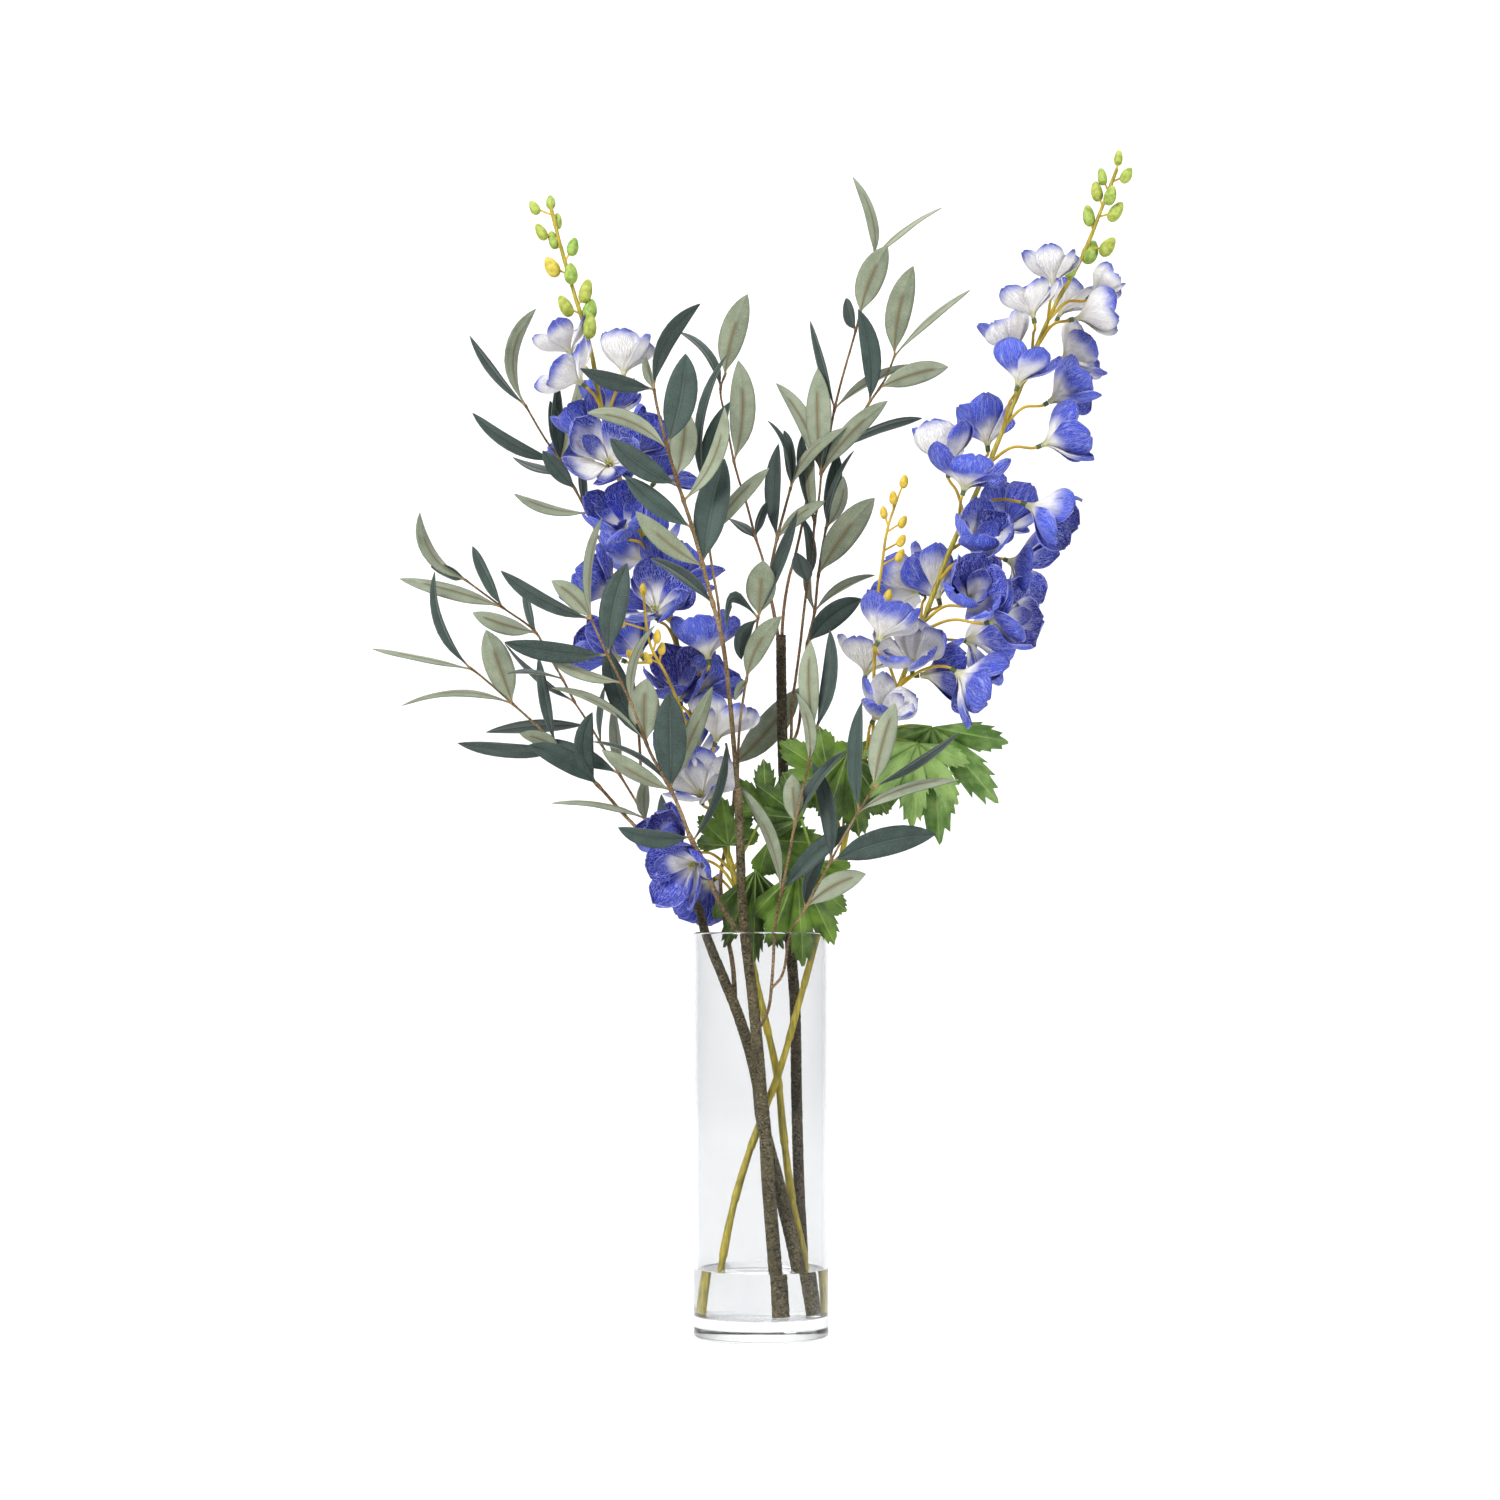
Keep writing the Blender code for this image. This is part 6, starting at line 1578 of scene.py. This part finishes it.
def head_pieces(owner, stalk, sprig, plans, table, materials, trees, kinds, dice):
    """Everything of one delphinium: stems, buds, lobed leaves, petals and hearts."""
    lobed, tip_buds, side_buds, florets = plans
    stems = Lines()
    places, radii = stalk

    def steps(place, distance):
        return 1.1 - 0.22 * (distance % STALK_JOINT / STALK_JOINT)

    stems.add(places, radii, 2.0, lambda share, _: (0.0, 0.0, 0.0, 1), steps)
    stems.add(*sprig, 2.0, lambda share, _: (0.7, 0.0, 0.0, 1))
    for _, _, route, thick in florets:
        neck = route[-2]
        soft = [route[0], route[1], neck, route[-1]]
        stems.add(soft, [thick[0], thick[1], thick[1], thick[1] * 0.9], 1.6,
                  lambda share, _: (min(1, 0.4 + share), 0.0, 0.0, 1))
        stems.add([neck + (route[-1] - neck) * 0.1, route[-1]], [COLLAR_RADIUS * 0.95, COLLAR_RADIUS], 1.5,
                  lambda share, _: (0.0, 1.0, 0.0, 1))
    buds = Spots()
    for group, fresh in ((tip_buds, 1.0), (side_buds, 0.0)):
        for number, (route, middle, ahead, size) in enumerate(group):
            ends = [BUD_STALK_RADIUS, BUD_STALK_RADIUS * 0.9]
            stems.add(route, ends, 2.0, lambda share, _: (0.9, 0.0, 0.0, 1))
            turn = Vector((0, 0, 1)).rotation_difference(ahead.normalized()).to_matrix()
            turn = turn @ Matrix.Rotation(dice.uniform(0, 6), 3, "Z")
            ripe = 0.35 if (owner, number) == GOLDEN_BUD else 1.0
            note = (fresh * ripe * dice.uniform(0.7, 1.0), dice.random(), 0, 1)
            buds.add(middle, 0, turn, (size, size, size), note)
    leaves = Shape()
    for route, placing in lobed:
        stems.add(route, tapered(*LEAF_STALK_RADII, len(route)), 2.0, lambda share, _: (0.2, 0.0, share, 1))
        add_lobed(leaves, placing, dice)
    petals = Spots()
    hearts = Spots()
    for number, (base, axis, spin, size, openness), _, _ in florets:
        shown_x, shown_z = table[number - 1][:2]
        pale = min(1.0, pale_here(shown_x, shown_z) + dice.uniform(0, 0.16))
        violet = dice.random() ** 1.6
        side = axis.cross(Vector((0, 1, 0.3))).normalized()
        other = axis.cross(side)
        frame_here = Matrix((side, other, axis)).transposed()
        for petal in range(FLORET_LOBES + INNER_COUNT):
            inner = petal >= FLORET_LOBES
            step = math.tau / (INNER_COUNT if inner else FLORET_LOBES)
            turn = spin + (petal + (0.5 if inner else 0)) * step + dice.uniform(-0.09, 0.09)
            open_by = (openness - 0.98) * 2.4 + dice.uniform(-0.1, 0.13)
            matrix = (frame_here @ Matrix.Rotation(turn, 3, "Z") @ Matrix.Rotation(open_by, 3, "Y")
                      @ Matrix.Rotation(PETAL_OVERLAP, 3, Vector((0.68, 0, 0.73))))
            grow = size * dice.uniform(0.94, 1.06)
            broad = size * dice.uniform(0.9, 1.12)
            kind = PETAL_KINDS + dice.randrange(3) if inner else dice.randrange(PETAL_KINDS)
            paler = 0.42 if inner else 0.7 * dice.random() ** 2 - 0.1
            note = (min(1.0, max(0.0, pale + paler)), violet, dice.random(), 1)
            petals.add(base, kind, matrix, (grow, broad, grow), note)
        hearts.add(base, 0, frame_here, (size, size, size), (0, 0, 0, 1))
    skin = grown(stems.made(owner + "_stems"), trees["skin"], Sides=10, Bump_Height=0.00012, Bump_Scale=260.0,
                 Material=materials["stalk"])
    bud_piece = grown(buds.made(owner + "_buds"), trees["copies"], Kinds=kinds["buds"],
                      Material=materials["bud"])
    leaf_piece = leaves.made(owner + "_lobed_leaves", materials["lobed"])
    for piece in (skin, bud_piece, leaf_piece):
        dress(piece, "delphinium_green", owner + "_green")
    petal_piece = grown(petals.made(owner + "_petals"), trees["copies"], Kinds=kinds["petals"],
                        Material=materials["petal"])
    heart_piece = grown(hearts.made(owner + "_hearts"), trees["copies"], Kinds=kinds["hearts"],
                        Material=materials["heart"])
    nodes = [f"{owner}_floret_{number:02d}" for number, _, _, _ in florets]
    dress(petal_piece, "delphinium_petals", *nodes)
    dress(heart_piece, "delphinium_petals", *nodes)


def build_pieces():
    branches, leaves, stalks, heads = plan_arrangement()
    dice = random.Random(11)
    materials = {"leaf": olive_leaf_finish(), "bark": bark_finish(), "stalk": stalk_finish(),
                 "bud": bud_finish(), "lobed": lobed_finish(), "petal": petal_finish(),
                 "heart": heart_finish()}
    trees = {"skin": stem_skin(), "copies": copies_on_points()}
    kinds = {"petals": petal_kinds(dice), "buds": bud_kinds(), "hearts": heart_kinds()}
    vase = turned_vessel("vase_glass", vase_profile(), 128, glass_finish())
    vase.visible_shadow = False
    dress(vase, "glass", "vase")
    water = turned_vessel("water_body", water_profile(), 128, water_finish())
    water.visible_shadow = False
    dress(water, "water", "water")
    for owner, planned in branches.items():
        thick, thin = branch_lines(owner, planned, leaves[owner])
        stem = grown(thick.made(owner + "_stem"), trees["skin"], Sides=24, Bump_Height=0.0006,
                     Bump_Scale=450.0, Material=materials["bark"])
        twigs = grown(thin.made(owner + "_twigs"), trees["skin"], Sides=9, Bump_Height=0.0002,
                      Bump_Scale=500.0, Material=materials["bark"])
        shape = Shape()
        for placing in leaves[owner]:
            add_leaf(shape, placing, dice)
        blades = shape.made(owner + "_leaves", materials["leaf"])
        for piece in (stem, twigs, blades):
            dress(piece, "olive", owner)
    tables = {"delphinium_left": FLORETS_LEFT, "delphinium_right": FLORETS_RIGHT}
    for owner, plans in heads.items():
        head_pieces(owner, *stalks[owner], plans, tables[owner], materials, trees, kinds, dice)


def soft_light(name, place, target, size, power):
    lamp = bpy.data.lights.new(name, "AREA")
    lamp.shape = "RECTANGLE"
    lamp.size, lamp.size_y = size
    lamp.energy = power
    thing = bpy.data.objects.new(name, lamp)
    thing.location = place
    thing.rotation_euler = (Vector(target) - Vector(place)).to_track_quat("-Z", "Y").to_euler()
    bpy.context.scene.collection.objects.link(thing)


def studio():
    """A pale floor that runs up into a backdrop, even light from all round, and the camera."""
    floor = bpy.data.meshes.new("floor")
    reach = 14.0
    turns = [math.radians(angle) for angle in range(0, 91, 9)]
    bend = [(3.2 + math.sin(turn) * 1.5, 1.4998 - math.cos(turn) * 1.5) for turn in turns]
    profile = [(-reach, -0.0002)] + bend + [(4.7, 6.0)]
    points = [(x, y, z) for y, z in profile for x in (-reach, reach)]
    floor.from_pydata(points, [], [(i, i + 1, i + 3, i + 2) for i in range(0, len(points) - 2, 2)])
    floor.polygons.foreach_set("use_smooth", [True] * len(floor.polygons))
    made = Finish("pale_floor", Specular_IOR_Level=0.1)
    clouds = made.start.noise(made.object, 3.0, 2.0)
    made.feeds("Base Color", clouds.rising(0.3, 0.7).colours((0.79, 0.79, 0.795, 1), (0.81, 0.81, 0.81, 1)))
    made.feeds("Roughness", 0.75)
    floor.materials.append(made.material)
    thing = bpy.data.objects.new("floor", floor)
    bpy.context.scene.collection.objects.link(thing)

    world = bpy.data.worlds.new("studio")
    bpy.context.scene.world = world
    world.use_nodes = True
    start = Wired(world.node_tree)
    way = start.node("ShaderNodeTexCoord", output=0)
    sides = way.part("X").size().rising(0.7, 0.95) * way.part("Z").rising(0.7, 0.2)
    behind = way.part("Y").rising(0.1, -0.5) * way.part("Z").rising(0.9, 0.5)
    glow = (sides * 0.3).most(behind * 0.4).colours((1.0, 1.0, 1.0, 1), (0.1, 0.1, 0.11, 1))
    shade = world.node_tree.nodes["Background"]
    world.node_tree.links.new(glow.socket, shade.inputs["Color"])
    shade.inputs["Strength"].default_value = 0.75

    soft_light("key", (-1.7, -2.0, 2.1), (0, 0, 0.5), (1.5, 1.5), 92.0)
    soft_light("fill", (2.1, -1.8, 1.2), (0, 0, 0.5), (1.8, 1.8), 34.0)
    soft_light("top", (0.2, 0.6, 2.6), (0, 0, 0.4), (2.0, 1.4), 30.0)
    soft_light("backdrop_glow", (0.0, 2.2, 3.2), (0, 4.4, 1.0), (4.0, 1.6), 105.0)

    camera = bpy.data.cameras.new("camera")
    camera.lens = 75.4
    camera.sensor_width = 36.0
    camera.shift_y = 0.1213
    seen = bpy.data.objects.new("camera", camera)
    seen.location = (VIEW_ACROSS * MM - 0.0002, -VIEW_DISTANCE * MM, VIEW_HEIGHT * MM)
    seen.rotation_euler = (math.radians(90), 0, 0)
    bpy.context.scene.collection.objects.link(seen)
    bpy.context.scene.camera = seen
    bpy.context.scene.view_settings.view_transform = "Standard"


build_pieces()
studio()
